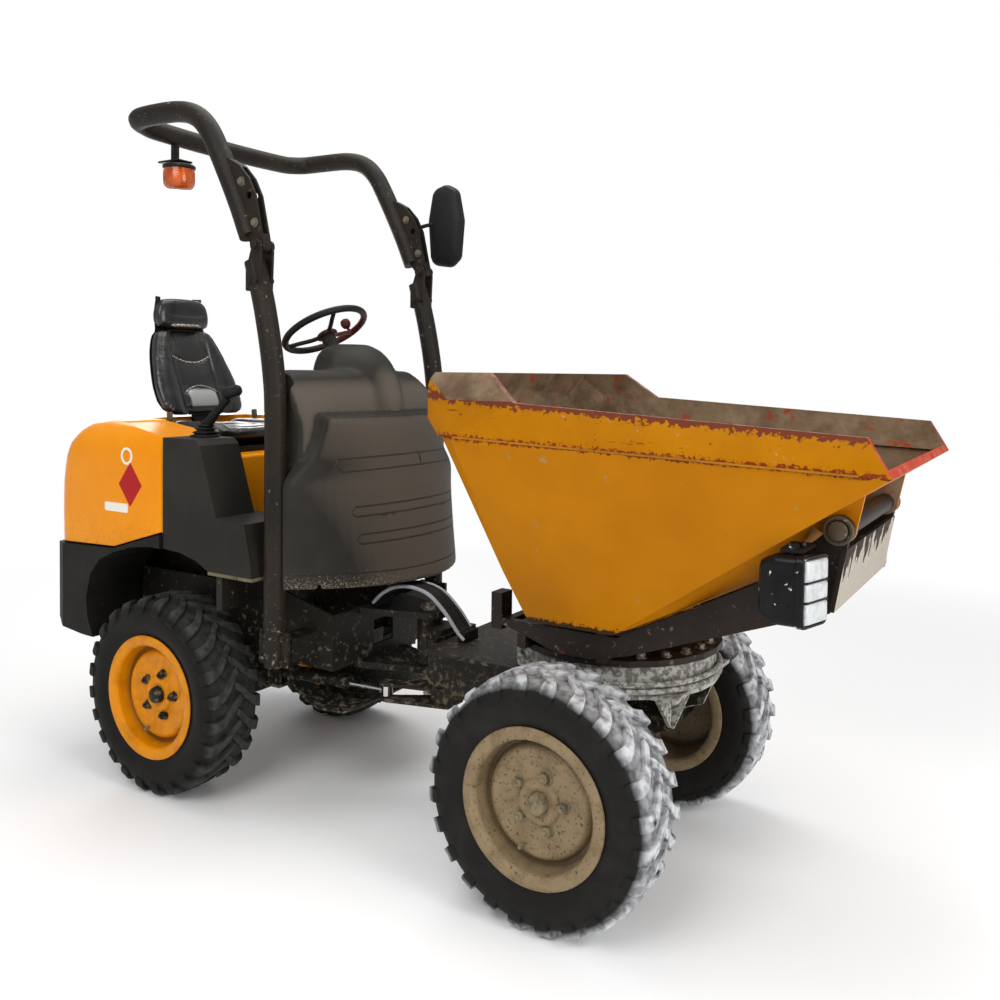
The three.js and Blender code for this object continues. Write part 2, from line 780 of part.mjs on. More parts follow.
// One level of the front cowl: a straight back and a bowed front.
function cowlLevel(z, halfWidth, sideX, noseX, backX, inset) {
  const points = [];
  const steps = 8;
  for (let i = 0; i <= steps; i++) {
    const across = -1 + (2 * i) / steps;
    const bow = 1 - Math.abs(across) ** 2.2;
    points.push([sideX - inset + (noseX - sideX) * bow, across * (halfWidth - inset), z]);
  }
  points.push([backX + inset, halfWidth - inset, z], [backX + inset, -halfWidth + inset, z]);
  return points;
}

// The bowed front panel and the dash above it, as outer form (inset 0) or as the room inside.
function cowlForm(inset) {
  const wide = COWL_HALF_WIDTH;
  const low = inset ? COWL_BOTTOM - 1 : COWL_BOTTOM;
  const panel = loft([
    cowlLevel(low, wide, 596, 903, COWL_REAR_X, inset),
    cowlLevel(1050, wide, 615, 860, COWL_REAR_X, inset),
    cowlLevel(COWL_SHOULDER_Z, wide, 631, 812, COWL_REAR_X, inset),
    cowlLevel(1330, wide - 95, 655, 785, COWL_REAR_X, inset),
    cowlLevel(COWL_LEDGE_Z - inset, 372, 690, 744, COWL_REAR_X, inset),
  ]);
  const dash = loft([
    cowlLevel(COWL_SHOULDER_Z - 40, wide - 60, 600, 640, COWL_REAR_X - 40, inset),
    cowlLevel(1420, wide - 65, 620, 690, COWL_REAR_X - 60, inset),
    cowlLevel(1590, wide - 20, 590, 665, COWL_REAR_X - 70, inset),
    cowlLevel(1646 - inset, wide - 85, 560, 620, COWL_REAR_X - 50, inset),
  ]);
  const hump = loft([
    cowlLevel(1500, 190, 560, 712, 452, inset),
    cowlLevel(1640, 178, 540, 672, 425, inset),
    cowlLevel(1715, 150, 515, 612, 430, inset),
    cowlLevel(1752 - inset, 90, 490, 545, 450, inset),
  ]);
  return join(panel, dash, hump);
}

// The room that each hoop post needs at the cowl's rear corners, grown by a wall.
function postNotches(wall) {
  const front = HOOP_FOOT_X + HOOP_TUBE_RADIUS + MOVING_GAP + wall;
  const inner = HOOP_Y - HOOP_TUBE_RADIUS - MOVING_GAP - wall;
  return bothSides(box([COWL_REAR_X - 200, front], [inner, COWL_HALF_WIDTH + 50], [COWL_BOTTOM - 50, 1800]));
}

// What the sloping left shoulder takes off the dash, grown by a wall.
function leftShoulder(wall) {
  const low = wall * 1.25;
  return alongX(
    [
      [192, 1664 - low],
      [470, 1462 - low],
      [COWL_HALF_WIDTH + 60, 1396 - low],
      [COWL_HALF_WIDTH + 60, 1800],
      [192, 1800],
    ],
    [380, 800],
  );
}

function frontCowl() {
  const [from, to] = columnEnds();
  const columnHole = bar(from, to, COLUMN_RADIUS + MOVING_GAP);
  const room = cut(cowlForm(COWL_WALL), postNotches(COWL_WALL), leftShoulder(COWL_WALL));
  return cut(cowlForm(0), postNotches(0), leftShoulder(0), room, columnHole);
}

// The column runs down and forward from the steering wheel's hub.
function columnEnds() {
  const tilt = THREE.MathUtils.degToRad(STEERING_TILT);
  const top = STEERING_HUB_BELOW + SHAFT_GAP;
  const start = [WHEEL_HUB.x + top * Math.sin(tilt), 0, WHEEL_HUB.z - top * Math.cos(tilt)];
  const end = [WHEEL_HUB.x + COLUMN_LENGTH * Math.sin(tilt), 0, WHEEL_HUB.z - COLUMN_LENGTH * Math.cos(tilt)];
  return [start, end];
}

// The column and the flat stay inside the cowl that carries it on the upper pivot lug.
function steeringColumn() {
  const [start, [endX, , endZ]] = columnEnds();
  const column = bar(start, [endX, 0, endZ], COLUMN_RADIUS, 16);
  const stayX = REAR_FRAME_NOSE_X + 20;
  const stayFoot = UPPER_LUG_Z + LUG_THICKNESS + FIT_GAP;
  const stay = alongY(
    [
      [endX - 20, endZ - 10],
      [stayX - 30, endZ - 110],
      [stayX - 30, stayFoot],
      [stayX + 8, stayFoot],
      [stayX + 8, endZ - 70],
      [endX + 20, endZ + 20],
    ],
    [-12, 12],
  );
  return join(column, stay);
}

// Drawn flat with its axis on Z, and tilted by its group.
function steeringWheel() {
  const middle = STEERING_WHEEL_RADIUS - STEERING_RIM_RADIUS;
  const ring = solid(new THREE.TorusGeometry(middle, STEERING_RIM_RADIUS, 6, 22));
  const hub = discZ(0, 0, 44, [-STEERING_HUB_BELOW, 14], 20);
  const spokes = [90, 210, 330].map((degrees) => {
    const angle = THREE.MathUtils.degToRad(degrees);
    const tip = [middle * Math.cos(angle), middle * Math.sin(angle), 26];
    return bar([0, 0, 4], tip, 9, 8);
  });
  return join(ring.translate([0, 0, 26]), hub, ...spokes);
}

function tiltedSteeringWheel() {
  const tilted = new THREE.Group();
  tilted.position.set(WHEEL_HUB.x, 0, WHEEL_HUB.z);
  tilted.rotation.y = -THREE.MathUtils.degToRad(STEERING_TILT);
  tilted.add(node("steering_wheel", steeringWheel(), BLACK_VINYL));
  return tilted;
}

function driveLever() {
  const base = CONSOLE_TOP + FIT_GAP;
  const gaiter = loft([
    [[60, -465, base], [150, -465, base], [150, -385, base], [60, -385, base]],
    [[92, -436, base + 62], [122, -436, base + 62], [122, -408, base + 62], [92, -408, base + 62]],
  ]);
  const stem = bar([104, -424, base + 30], [212, -386, 1556], 9, 10);
  const knob = solid(new THREE.SphereGeometry(26, 12, 8).translate(220, -383, 1570));
  return join(gaiter, stem, knob);
}

// ---------------------------------------------------------------- roll-over hoop

// A post with its foot, its bend, and the fork that holds the fold pin.
function hoopPost() {
  const post = tube(
    [
      [HOOP_FOOT_X, -HOOP_Y, HOOP_FOOT_Z],
      [HOOP_FOOT_X, -HOOP_Y, 900],
      [HOOP_FOOT_X, -HOOP_Y, 1450],
      [HOOP_FOOT_X - 12, -HOOP_Y, 1640],
      [498, -HOOP_Y, 1850],
      [444, -HOOP_Y, 2040],
    ],
    HOOP_TUBE_RADIUS,
    HOOP_SIDES,
    12,
  );
  const cheekShape = [
    [430, 1930],
    [500, 1925],
    [FOLD_PIN.x + 26, FOLD_PIN.z - 20],
    [FOLD_PIN.x + 24, FOLD_PIN.z + 14],
    [FOLD_PIN.x + 4, FOLD_PIN.z + 27],
    [FOLD_PIN.x - 18, FOLD_PIN.z + 18],
    [FOLD_PIN.x - 30, FOLD_PIN.z - 30],
    [430, 2000],
  ];
  const cheeks = [-34, 24].map((offset) => alongY(cheekShape, [-HOOP_Y + offset, -HOOP_Y + offset + 10]));
  const pin = discY(FOLD_PIN.x, FOLD_PIN.z, FOLD_PIN_RADIUS, [-HOOP_Y - 42, -HOOP_Y + 42], 12);
  const footX = [HOOP_FOOT_X - 70, HOOP_FOOT_X + 70];
  const foot = box(footX, [-HOOP_Y - 8, -HOOP_Y + 8], [HOOP_FOOT_Z, HOOP_FOOT_Z + 130]);
  return join(post, ...cheeks, pin, foot);
}

// The folding part: two legs, the bowed crossbar, the lugs on the fold pins and the lock gussets.
function foldingHoop() {
  const legs = [
    [418, 2130],
    [356, 2266],
    [258, 2450],
    [196, 2548],
    [126, 2606],
    [24, 2634],
  ];
  const right = legs.map(([x, z]) => [x, -HOOP_Y, z]);
  const left = legs.map(([x, z]) => [x, HOOP_Y, z]).reverse();
  const path = [
    ...right,
    [-140, -HOOP_Y, CROSSBAR.z + 18],
    [CROSSBAR.x + 14, -HOOP_Y + 28, CROSSBAR.z + 12],
    [CROSSBAR.x, -HOOP_Y + 120, CROSSBAR.z],
    [CROSSBAR.x, 0, CROSSBAR.z - 4],
    [CROSSBAR.x, HOOP_Y - 120, CROSSBAR.z],
    [CROSSBAR.x + 14, HOOP_Y - 28, CROSSBAR.z + 12],
    [-140, HOOP_Y, CROSSBAR.z + 18],
    ...left,
  ];
  const hoop = tube(path, HOOP_TUBE_RADIUS, HOOP_SIDES, 44);
  const lug = alongY(
    [
      [FOLD_PIN.x - 22, FOLD_PIN.z - 14],
      [FOLD_PIN.x, FOLD_PIN.z - 26],
      [FOLD_PIN.x + 22, FOLD_PIN.z - 14],
      [FOLD_PIN.x + 26, FOLD_PIN.z + 6],
      [462, 2276],
      [430, 2340],
      [380, 2392],
      [318, 2420],
      [285, 2400],
      [400, 2150],
    ],
    [-HOOP_Y - 20, -HOOP_Y + 20],
  );
  const pinHole = discY(FOLD_PIN.x, FOLD_PIN.z, FOLD_PIN_RADIUS + 1, [-HOOP_Y - 30, -HOOP_Y + 30], 12);
  const lockHole = discY(430, 2276, 14, [-HOOP_Y - 30, -HOOP_Y + 30], 12);
  const beaconArm = join(
    box([CROSSBAR.x - 20, CROSSBAR.x + 20], [-276, -264], [BEACON_PLATE_Z + 2, CROSSBAR.z]),
    box([CROSSBAR.x - 20, BEACON.x + 40], [-340, -264], [BEACON_PLATE_Z, BEACON_PLATE_Z + 8]),
  );
  return join(hoop, bothSides(cut(lug, pinHole, lockHole)), beaconArm);
}

function beacon() {
  const top = BEACON_PLATE_Z - FIT_GAP;
  return discZ(BEACON.x, BEACON.y, BEACON.radius, [top - BEACON.height, top], 20);
}

// The mirror, folded in beside the left leg on a short stalk.
function mirror() {
  const head = alongY(
    [
      [452, 2135],
      [560, 2120],
      [606, 2160],
      [620, 2330],
      [590, 2470],
      [530, 2500],
      [462, 2480],
      [436, 2340],
    ],
    [562, 612],
  );
  const stalk = bar([400, HOOP_Y + HOOP_TUBE_RADIUS + 8, 2300], [470, 575, 2320], 9, 10);
  const clampY = [HOOP_Y + HOOP_TUBE_RADIUS + FIT_GAP, HOOP_Y + HOOP_TUBE_RADIUS + 14];
  const clamp = box([352, 408], clampY, [2262, 2318]);
  return join(head, stalk, clamp);
}

// ---------------------------------------------------------------- front chassis

function frontFrame() {
  const side = alongY(
    [
      [985, 450],
      [1091, 450],
      [1250, FRONT_FRAME_BOTTOM],
      [FRONT_FRAME_END_X - 170, FRONT_FRAME_BOTTOM],
      [FRONT_FRAME_END_X - 50, 520],
      [FRONT_FRAME_END_X, FRONT_FRAME_TOP],
      [985, FRONT_FRAME_TOP],
    ],
    [FRONT_FRAME_HALF_WIDTH - FRAME_PLATE, FRONT_FRAME_HALF_WIDTH],
  );
  const topPlate = join(
    box(
      [1040, FRONT_FRAME_END_X],
      [-FRONT_TOP_PLATE_HALF_WIDTH, FRONT_TOP_PLATE_HALF_WIDTH],
      [FRONT_FRAME_TOP, FRONT_TOP_PLATE_TOP],
    ),
    discZ(SLEW_X, 0, RACE_OUTER_RADIUS + 12, [FRONT_FRAME_TOP, FRONT_TOP_PLATE_TOP]),
  );
  const neckHalf = FRONT_FRAME_HALF_WIDTH;
  const neck = box([985, 1010], [-neckHalf, neckHalf], [450, FRONT_TOP_PLATE_TOP]);
  const bottom = FRONT_FRAME_BOTTOM;
  const bottomPlate = box(
    [1091, FRONT_FRAME_END_X - 170],
    [-neckHalf, neckHalf],
    [bottom, bottom + FRAME_PLATE],
  );
  const axleWell = box([WHEELBASE - 150, WHEELBASE + 150], [-100, 100], [bottom - 1, bottom + 20]);
  const tubeZ = [LOWER_LUG_Z + LUG_THICKNESS + RUNNING_GAP, UPPER_LUG_Z - RUNNING_GAP];
  const pivotTube = discZ(PIVOT_X, 0, PIVOT_TUBE_RADIUS, tubeZ, 24);
  const pivotBore = discZ(PIVOT_X, 0, PIVOT_PIN_RADIUS + SHAFT_GAP, [tubeZ[0] - 1, tubeZ[1] + 1], 24);
  const stem = alongZ(
    [
      [PIVOT_X, -40],
      [1000, -80],
      [1000, 80],
      [PIVOT_X, 40],
    ],
    [tubeZ[0] + 4, tubeZ[1] - 24],
  );
  const gussets = bothSides(
    alongX(
      [
        [FRONT_FRAME_HALF_WIDTH - 1, 520],
        [FRONT_TOP_PLATE_HALF_WIDTH, FRONT_FRAME_TOP],
        [FRONT_FRAME_HALF_WIDTH - 1, FRONT_FRAME_TOP],
      ],
      [1930, 1942],
    ),
  );
  return join(
    bothSides(side),
    topPlate,
    neck,
    cut(bottomPlate, axleWell),
    cut(join(pivotTube, stem), pivotBore),
    gussets,
    steerArm(),
  );
}

// The flat arm under the neck that the steering cylinder pushes.
function steerArm() {
  const [x, y] = STEER_CYLINDER.eye;
  const z = STEER_CYLINDER.eye[2];
  const gap = ROD_EYE_HALF + MOVING_GAP;
  const plates = [z - gap - STEER_ARM_PLATE, z + gap].map((low) =>
    alongZ(
      [
        [x - 26, y - 10],
        [x - 14, y - 28],
        [x + 20, y - 30],
        [1075, -141],
        [1075, -40],
        [1000, -40],
        [x + 10, y + 28],
        [x - 18, y + 22],
      ],
      [low, low + STEER_ARM_PLATE],
    ),
  );
  const web = box([1000, 1075], [-141, -60], [z - gap - STEER_ARM_PLATE, 470]);
  return join(...plates, web);
}

function race(z, holeRadius) {
  const ring = discZ(SLEW_X, 0, RACE_OUTER_RADIUS, [z, z + RACE_HEIGHT]);
  return cut(ring, discZ(SLEW_X, 0, holeRadius, [z - 1, z + RACE_HEIGHT + 1]));
}

// ---------------------------------------------------------------- skip carrier

function carrierArm() {
  const outer = -CARRIER_ARM_OUTER_Y;
  const inner = outer + CARRIER_ARM_THICKNESS;
  const arm = alongY(
    [
      [1440, 830],
      [1508, 812],
      [1640, CARRIER_PLATE_TOP + 6],
      [1760, CARRIER_PLATE_TOP + 4],
      [1887, 799],
      [2328, 961],
      [2470, 1013],
      [2512, 1205],
      [2500, 1230],
      [2456, 1232],
      [2262, skipFloor(2262) - 80],
      [SKIP_KNEE_X + 40, skipFloor(SKIP_KNEE_X + 40) - 20],
      [SKIP_KNEE_X, SKIP_BOTTOM - 16],
      [1440, SKIP_BOTTOM - 16],
    ],
    [outer, inner],
  );
  const boss = discY(TIP_PIN.x, TIP_PIN.z, TIP_LUG_RADIUS, [outer, inner]);
  const hole = discY(TIP_PIN.x, TIP_PIN.z, TIP_PIN_RADIUS + FIT_GAP, [outer - 1, inner + 1]);
  return cut(join(arm, boss), hole);
}

function skipCarrier() {
  const inner = CARRIER_ARM_OUTER_Y - 1;
  const plate = discZ(SLEW_X, 0, CARRIER_PLATE_RADIUS, [CARRIER_BOTTOM, CARRIER_PLATE_TOP]);
  const saddles = [
    box([1500, 1530], [-inner, inner], [CARRIER_PLATE_TOP - 1, 846]),
    box([1780, 1810], [-inner, inner], [CARRIER_PLATE_TOP - 1, SKIP_BOTTOM - FIT_GAP]),
  ];
  const webs = bothSides(box([1500, 1810], [200, 220], [CARRIER_PLATE_TOP - 1, 840]));
  const frontPlate = alongY(
    [
      [2468, 1018],
      [2482, 1018],
      [2511, 1190],
      [2497, 1190],
    ],
    [-CARRIER_ARM_OUTER_Y - 6, CARRIER_ARM_OUTER_Y + 6],
  );
  const rest = bothSides(box([1400, 1440], [300, CARRIER_ARM_OUTER_Y], [812, 930]));
  const [bx, , bz] = TIP_CYLINDER.base;
  const earY = TIP_CYLINDER.barrel + MOVING_GAP;
  const ear = bothSides(
    alongY(
      [
        [bx - 30, bz - 26],
        [2474, bz - 8],
        [2490, bz + 70],
        [bx - 22, bz + 30],
      ],
      [earY, earY + CYLINDER_EAR],
    ),
  );
  const pinEnd = earY + CYLINDER_EAR + 6;
  const pin = discY(bx, bz, CYLINDER_PIN_RADIUS, [-pinEnd, pinEnd], 16);
  const tie = box([1440, 1470], [-inner, inner], [826, 848]);
  const arms = bothSides(carrierArm());
  const brackets = bothSides(lightBracket());
  return join(arms, plate, ...saddles, webs, frontPlate, rest, tie, ear, pin, brackets);
}

// The bent strap that carries a work light from the arm.
function lightBracket() {
  return box([2370, 2430], [-500, -CARRIER_ARM_OUTER_Y + 1], [1190 + FIT_GAP, 1199]);
}

// The lens face is turned outwards, so the body is deeper on its inner side.
function workLight() {
  const body = alongZ(
    [
      [2350, -545],
      [2440, -545],
      [2476, -420],
      [2350, -420],
    ],
    [1000, 1190],
  );
  const taper = alongX(
    [
      [-530, 1030],
      [-435, 1030],
      [-435, 1165],
      [-530, 1165],
    ],
    [2318, 2351],
  );
  const lens = alongZ(
    [
      [2440, -539],
      [2454, -542],
      [2488, -428],
      [2474, -425],
    ],
    [1006, 1184],
  );
  return join(body, taper, lens);
}

function hingePin() {
  const reach = CARRIER_ARM_OUTER_Y + 10;
  return discY(TIP_PIN.x, TIP_PIN.z, TIP_PIN_RADIUS, [-reach, reach], 24);
}

// ---------------------------------------------------------------- skip

// The underside's height where the floor rises towards the lip.
function skipFloor(x) {
  return SKIP_BOTTOM + ((x - SKIP_KNEE_X) * (SKIP_LIP_Z - SKIP_BOTTOM)) / (SKIP_LIP_X - SKIP_KNEE_X);
}

// The middle of the sloping floor is pressed down between the carrier's arms.
function skipBelly(inset, floorDrop) {
  const lowest = [
    [SKIP_KNEE_X + 40, SKIP_BOTTOM + 8],
    [2262, 1067],
    [2375, 1168],
  ];
  const edge = [
    [SKIP_KNEE_X, SKIP_FLOOR_HALF_WIDTH - 4],
    [2425, 345],
  ];
  const points = [];
  for (const side of [-1, 1]) {
    for (const [x, y] of edge) {
      for (const rise of [floorDrop, 40]) points.push([x, side * (y - inset), skipFloor(x) + rise]);
    }
    for (const [x, z] of lowest) {
      points.push([x, side * (BELLY_HALF_WIDTH - inset * 0.5), z + floorDrop]);
    }
  }
  return wasm.Manifold.hull(points);
}

// The skip's outer form, or with an inset the room inside it: a side outline, narrowed towards the
// floor by a cross outline and rounded at the rear by a plan outline. The lower rear corners are
// chamfered, and the guard at the top leans in over the room.
function skipForm(inset) {
  const floorDrop = inset ? inset * 1.2 : 0;
  const above = inset ? 60 : 0;
  const beyond = inset ? 20 : 0;
  const leanTop = SPILL_GUARD_TOP + above;
  const lean = (leanTop - SPILL_GUARD_FOOT) * SPILL_GUARD_LEAN;
  const side = alongY(
    [
      [1560 + inset, SKIP_BOTTOM + floorDrop],
      [SKIP_KNEE_X - inset * 0.4, SKIP_BOTTOM + floorDrop],
      [SKIP_LIP_X + beyond, skipFloor(SKIP_LIP_X + beyond) + floorDrop],
      [2589 + beyond, 1500 + above],
      [1590, 1556 + above],
      [1475, leanTop],
      [SKIP_REAR_X + lean + inset, leanTop],
      [SKIP_REAR_X + inset, SPILL_GUARD_FOOT],
      [SKIP_REAR_X + inset, 1520],
      [1312 + inset, 1440],
    ],
    [-700, 700],
  );
  const wide = SKIP_HALF_WIDTH - inset;
  const narrow = SKIP_FLOOR_HALF_WIDTH - inset;
  const cross = alongX(
    [
      [-narrow, SKIP_BOTTOM - 1],
      [narrow, SKIP_BOTTOM - 1],
      [wide, 1425],
      [wide, SPILL_GUARD_FOOT],
      [wide - lean, leanTop],
      [-wide + lean, leanTop],
      [-wide, SPILL_GUARD_FOOT],
      [-wide, 1425],
    ],
    [1200, 2800],
  );
  const plan = alongZ(
    [
      [SKIP_REAR_X + inset, -430],
      [SKIP_REAR_X + 22 + inset * 0.8, 38 + inset * 0.2 - wide],
      [1351 + inset * 0.3, -wide],
      [2800, -wide],
      [2800, wide],
      [1351 + inset * 0.3, wide],
      [SKIP_REAR_X + 22 + inset * 0.8, wide - 38 - inset * 0.2],
      [SKIP_REAR_X + inset, 430],
    ],
    [800, 1800],
  );
  const whole = join(side.intersect(cross).intersect(plan), skipBelly(inset, floorDrop));
  const [top, bottom] = whole.splitByPlane([0, 0, 1], SKIP_FOLD_Z);
  const chamfered = bottom
    .trimByPlane([0.479, 0.798, 0.3656], 733 + inset)
    .trimByPlane([0.479, -0.798, 0.3656], 733 + inset);
  return join(top, chamfered);
}

// A thin shell with a thicker band round the mouth, the tipping lugs and the ram's ears.
function skip() {
  const shell = cut(skipForm(0), skipForm(SKIP_WALL));
  const aboveFold = alongY(
    [
      [1200, 1450],
      [SKIP_LIP_X + 10, SKIP_LIP_Z],
      [SKIP_LIP_X + 10, 1800],
      [1200, 1800],
    ],
    [-700, 700],
  );
  const band = cut(skipForm(0).intersect(aboveFold), skipForm(SKIP_RIM));
  return join(shell, band, bothSides(tipLug()), ramEars());
}

function tipLug() {
  const y = [-CARRIER_ARM_OUTER_Y + CARRIER_ARM_THICKNESS + MOVING_GAP, 0];
  y[1] = y[0] + TIP_LUG_THICKNESS;
  const boss = discY(TIP_PIN.x, TIP_PIN.z, TIP_LUG_RADIUS, y);
  const web = alongY(
    [
      [TIP_PIN.x - 30, TIP_PIN.z - 26],
      [TIP_PIN.x + 36, TIP_PIN.z - 16],
      [TIP_PIN.x + 60, skipFloor(TIP_PIN.x + 60) + SKIP_WALL / 2],
      [TIP_PIN.x - 80, skipFloor(TIP_PIN.x - 80) + SKIP_WALL / 2],
    ],
    y,
  );
  const hole = discY(TIP_PIN.x, TIP_PIN.z, TIP_PIN_RADIUS + SHAFT_GAP, [y[0] - 1, y[1] + 1]);
  return cut(join(boss, web), hole);
}

// The ears under the floor that the tipping cylinder's rod pushes; the rod's eye runs between them.
function ramEars() {
  const [x, , z] = TIP_CYLINDER.eye;
  return bothSides(
    alongY(
      [
        [x - 30, z - 24],
        [x + 26, z - 24],
        [x + 60, skipFloor(x + 60) + SKIP_WALL / 2],
        [SKIP_KNEE_X, skipFloor(SKIP_KNEE_X) + SKIP_WALL / 2],
      ],
      [28, 40],
    ),
  );
}

// ---------------------------------------------------------------- cylinders and hoses

// A point on the line from the cylinder's base to its eye.
function along({ base, eye }, distance) {
  const start = new THREE.Vector3(...base);
  const direction = new THREE.Vector3(...eye).sub(start).normalize();
  return start.addScaledVector(direction, distance).toArray();
}

function cylinderLength({ base, eye }) {
  return new THREE.Vector3(...base).distanceTo(new THREE.Vector3(...eye));
}

function eyeBar(point, radius, halfLength, axis) {
  const offset = axis === "y" ? [0, halfLength, 0] : [0, 0, halfLength];
  const from = point.map((value, i) => value - offset[i]);
  const to = point.map((value, i) => value + offset[i]);
  return bar(from, to, radius, 16);
}

function cylinderBarrel(cylinder, axis) {
  const tubePiece = bar(along(cylinder, 30), along(cylinder, cylinder.barrelLength), cylinder.barrel, 20);
  const eye = eyeBar(cylinder.base, cylinder.barrel - 2, BARREL_EYE_HALF, axis);
  const pinHole = eyeBar(cylinder.base, CYLINDER_PIN_RADIUS + SHAFT_GAP, BARREL_EYE_HALF + 1, axis);
  const bore = bar(
    along(cylinder, 45),
    along(cylinder, cylinder.barrelLength + 1),
    cylinder.bore + SHAFT_GAP,
    16,
  );
  return cut(join(tubePiece, eye, bar(cylinder.base, along(cylinder, 40), 15, 12)), bore, pinHole);
}

function cylinderRod(cylinder, axis) {
  const length = cylinderLength(cylinder);
  const rod = bar(along(cylinder, cylinder.rodStart), along(cylinder, length - 12), cylinder.bore, 16);
  return join(rod, eyeBar(cylinder.eye, cylinder.bore + 8, ROD_EYE_HALF, axis));
}

// Three hoses from under the cowl, over the pivot and onto the front chassis, held by two clamps.
function pivotHoses() {
  const shifts = [-26, 0, 26];
  const hoses = shifts.map((shift) =>
    tube(
      [
        [690, -60 + shift, 742],
        [740, -64 + shift, 785],
        [810, -70 + shift, 818],
        [890, -72 + shift, 826],
        [970, -70 + shift, 805],
        [1040, -64 + shift, 745],
        [1085, -60 + shift, 690],
        [1120, -60 + shift, 662],
      ],
      HOSE_RADIUS,
      8,
      12,
    ),
  );
  const clamps = [
    box([1090, 1124], [-104, -16], [FRONT_TOP_PLATE_TOP + FIT_GAP, 690]),
    box([690, 712], [-104, -16], [UPPER_LUG_Z + LUG_THICKNESS + FIT_GAP, 768]),
  ];
  return join(...hoses, ...clamps);
}

// ---------------------------------------------------------------- assembly

function rearModule() {
  const group = new THREE.Group();
  group.add(
    node("rear_frame", rearFrame(), BLACK_PAINT),
    node("rear_axle", axle(0, REAR_FRAME_BOTTOM), BLACK_PAINT),
    node("engine_block", engineBlock(), MUDDY_STEEL),
    node("rear_bumper", rearBumper(), BLACK_PAINT),
    node("side_console_right", sideConsole(), GREY_PLASTIC),
    node("side_console_left", mirrored(sideConsole()), GREY_PLASTIC),
    node("floor_plate", floorPlate(), BLACK_PAINT),
    node("front_cowl", frontCowl(), GREY_PLASTIC),
    node("steering_column", steeringColumn(), BLACK_PAINT),
    node("drive_lever", driveLever(), BLACK_VINYL),
    node("hoop_post_right", hoopPost(), BLACK_PAINT),
    node("hoop_post_left", mirrored(hoopPost()), BLACK_PAINT),
    node("belly_guard", bellyGuard(), BLACK_PAINT),
    node("pivot_pin", pivotPin(), BRIGHT_STEEL),
    node("steer_cylinder_barrel", cylinderBarrel(STEER_CYLINDER, "z"), BLACK_PAINT),
    wheelPair("rear", 0, YELLOW_PAINT),
  );
  return group;
}

function engineCover() {
  const group = new THREE.Group();
  group.add(
    node("engine_hood", engineHood(), YELLOW_PAINT),
    node("seat_pan", seatPan(), BLACK_PAINT),
    node("seat_cushion", seatCushion(), BLACK_VINYL),
    node("seat_backrest", seatBackrest(), BLACK_VINYL),
  );
  return group;
}

function hoopAssembly() {
  const group = new THREE.Group();
  group.add(
    node("folding_hoop", foldingHoop(), BLACK_PAINT),
    node("beacon", beacon(), AMBER_LENS),
    node("mirror", mirror(), BLACK_PAINT),
  );
  return group;
}

function frontModule() {
  const group = new THREE.Group();
  const fixedRaceZ = FRONT_TOP_PLATE_TOP + FIT_GAP;
  group.add(
    node("front_frame", frontFrame(), MUDDY_STEEL),
    node("front_axle", axle(WHEELBASE, FRONT_FRAME_BOTTOM), MUDDY_STEEL),
    node("slew_ring_fixed", race(fixedRaceZ, RACE_INNER_RADIUS), MUDDY_STEEL),
    node("steer_cylinder_rod", cylinderRod(STEER_CYLINDER, "z"), BRIGHT_STEEL),
    node("pivot_hoses", pivotHoses(), HOSE_RUBBER),
    wheelPair("front", WHEELBASE, MUDDY_RIM),
  );
  return group;
}

function turntable() {
  const group = new THREE.Group();
  group.add(
    node("slew_ring_turning", race(TURNING_RACE_BOTTOM, RACE_INNER_RADIUS), MUDDY_STEEL),
    node("skip_carrier", skipCarrier(), BLACK_PAINT),
    node("work_light_right", workLight(), BLACK_PAINT),
    node("work_light_left", mirrored(workLight()), BLACK_PAINT),
    node("hinge_pin", hingePin(), BRIGHT_STEEL),
    node("tip_cylinder_barrel", cylinderBarrel(TIP_CYLINDER, "y"), BLACK_PAINT),
    node("tip_cylinder_rod", cylinderRod(TIP_CYLINDER, "y"), BRIGHT_STEEL),
    node("skip", skip(), YELLOW_PAINT),
  );
  return group;
}

const machine = new THREE.Group();
machine.position.x = -MIDDLE_X;
machine.add(rearModule(), engineCover(), hoopAssembly(), tiltedSteeringWheel(), frontModule(), turntable());

const dumper = new THREE.Group();
dumper.add(machine);

export default dumper;
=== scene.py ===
"""A site dumper's finishes, soft parts and fittings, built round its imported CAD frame.

Distances inside a section are millimetres ahead of the rear axle, left of the middle and above the
ground; place() turns them into the frame's metres. Every piece rides on the body it is fixed to.
"""

import math

import bmesh
import bpy
from mathutils import Matrix, Vector
from mathutils.bvhtree import BVHTree


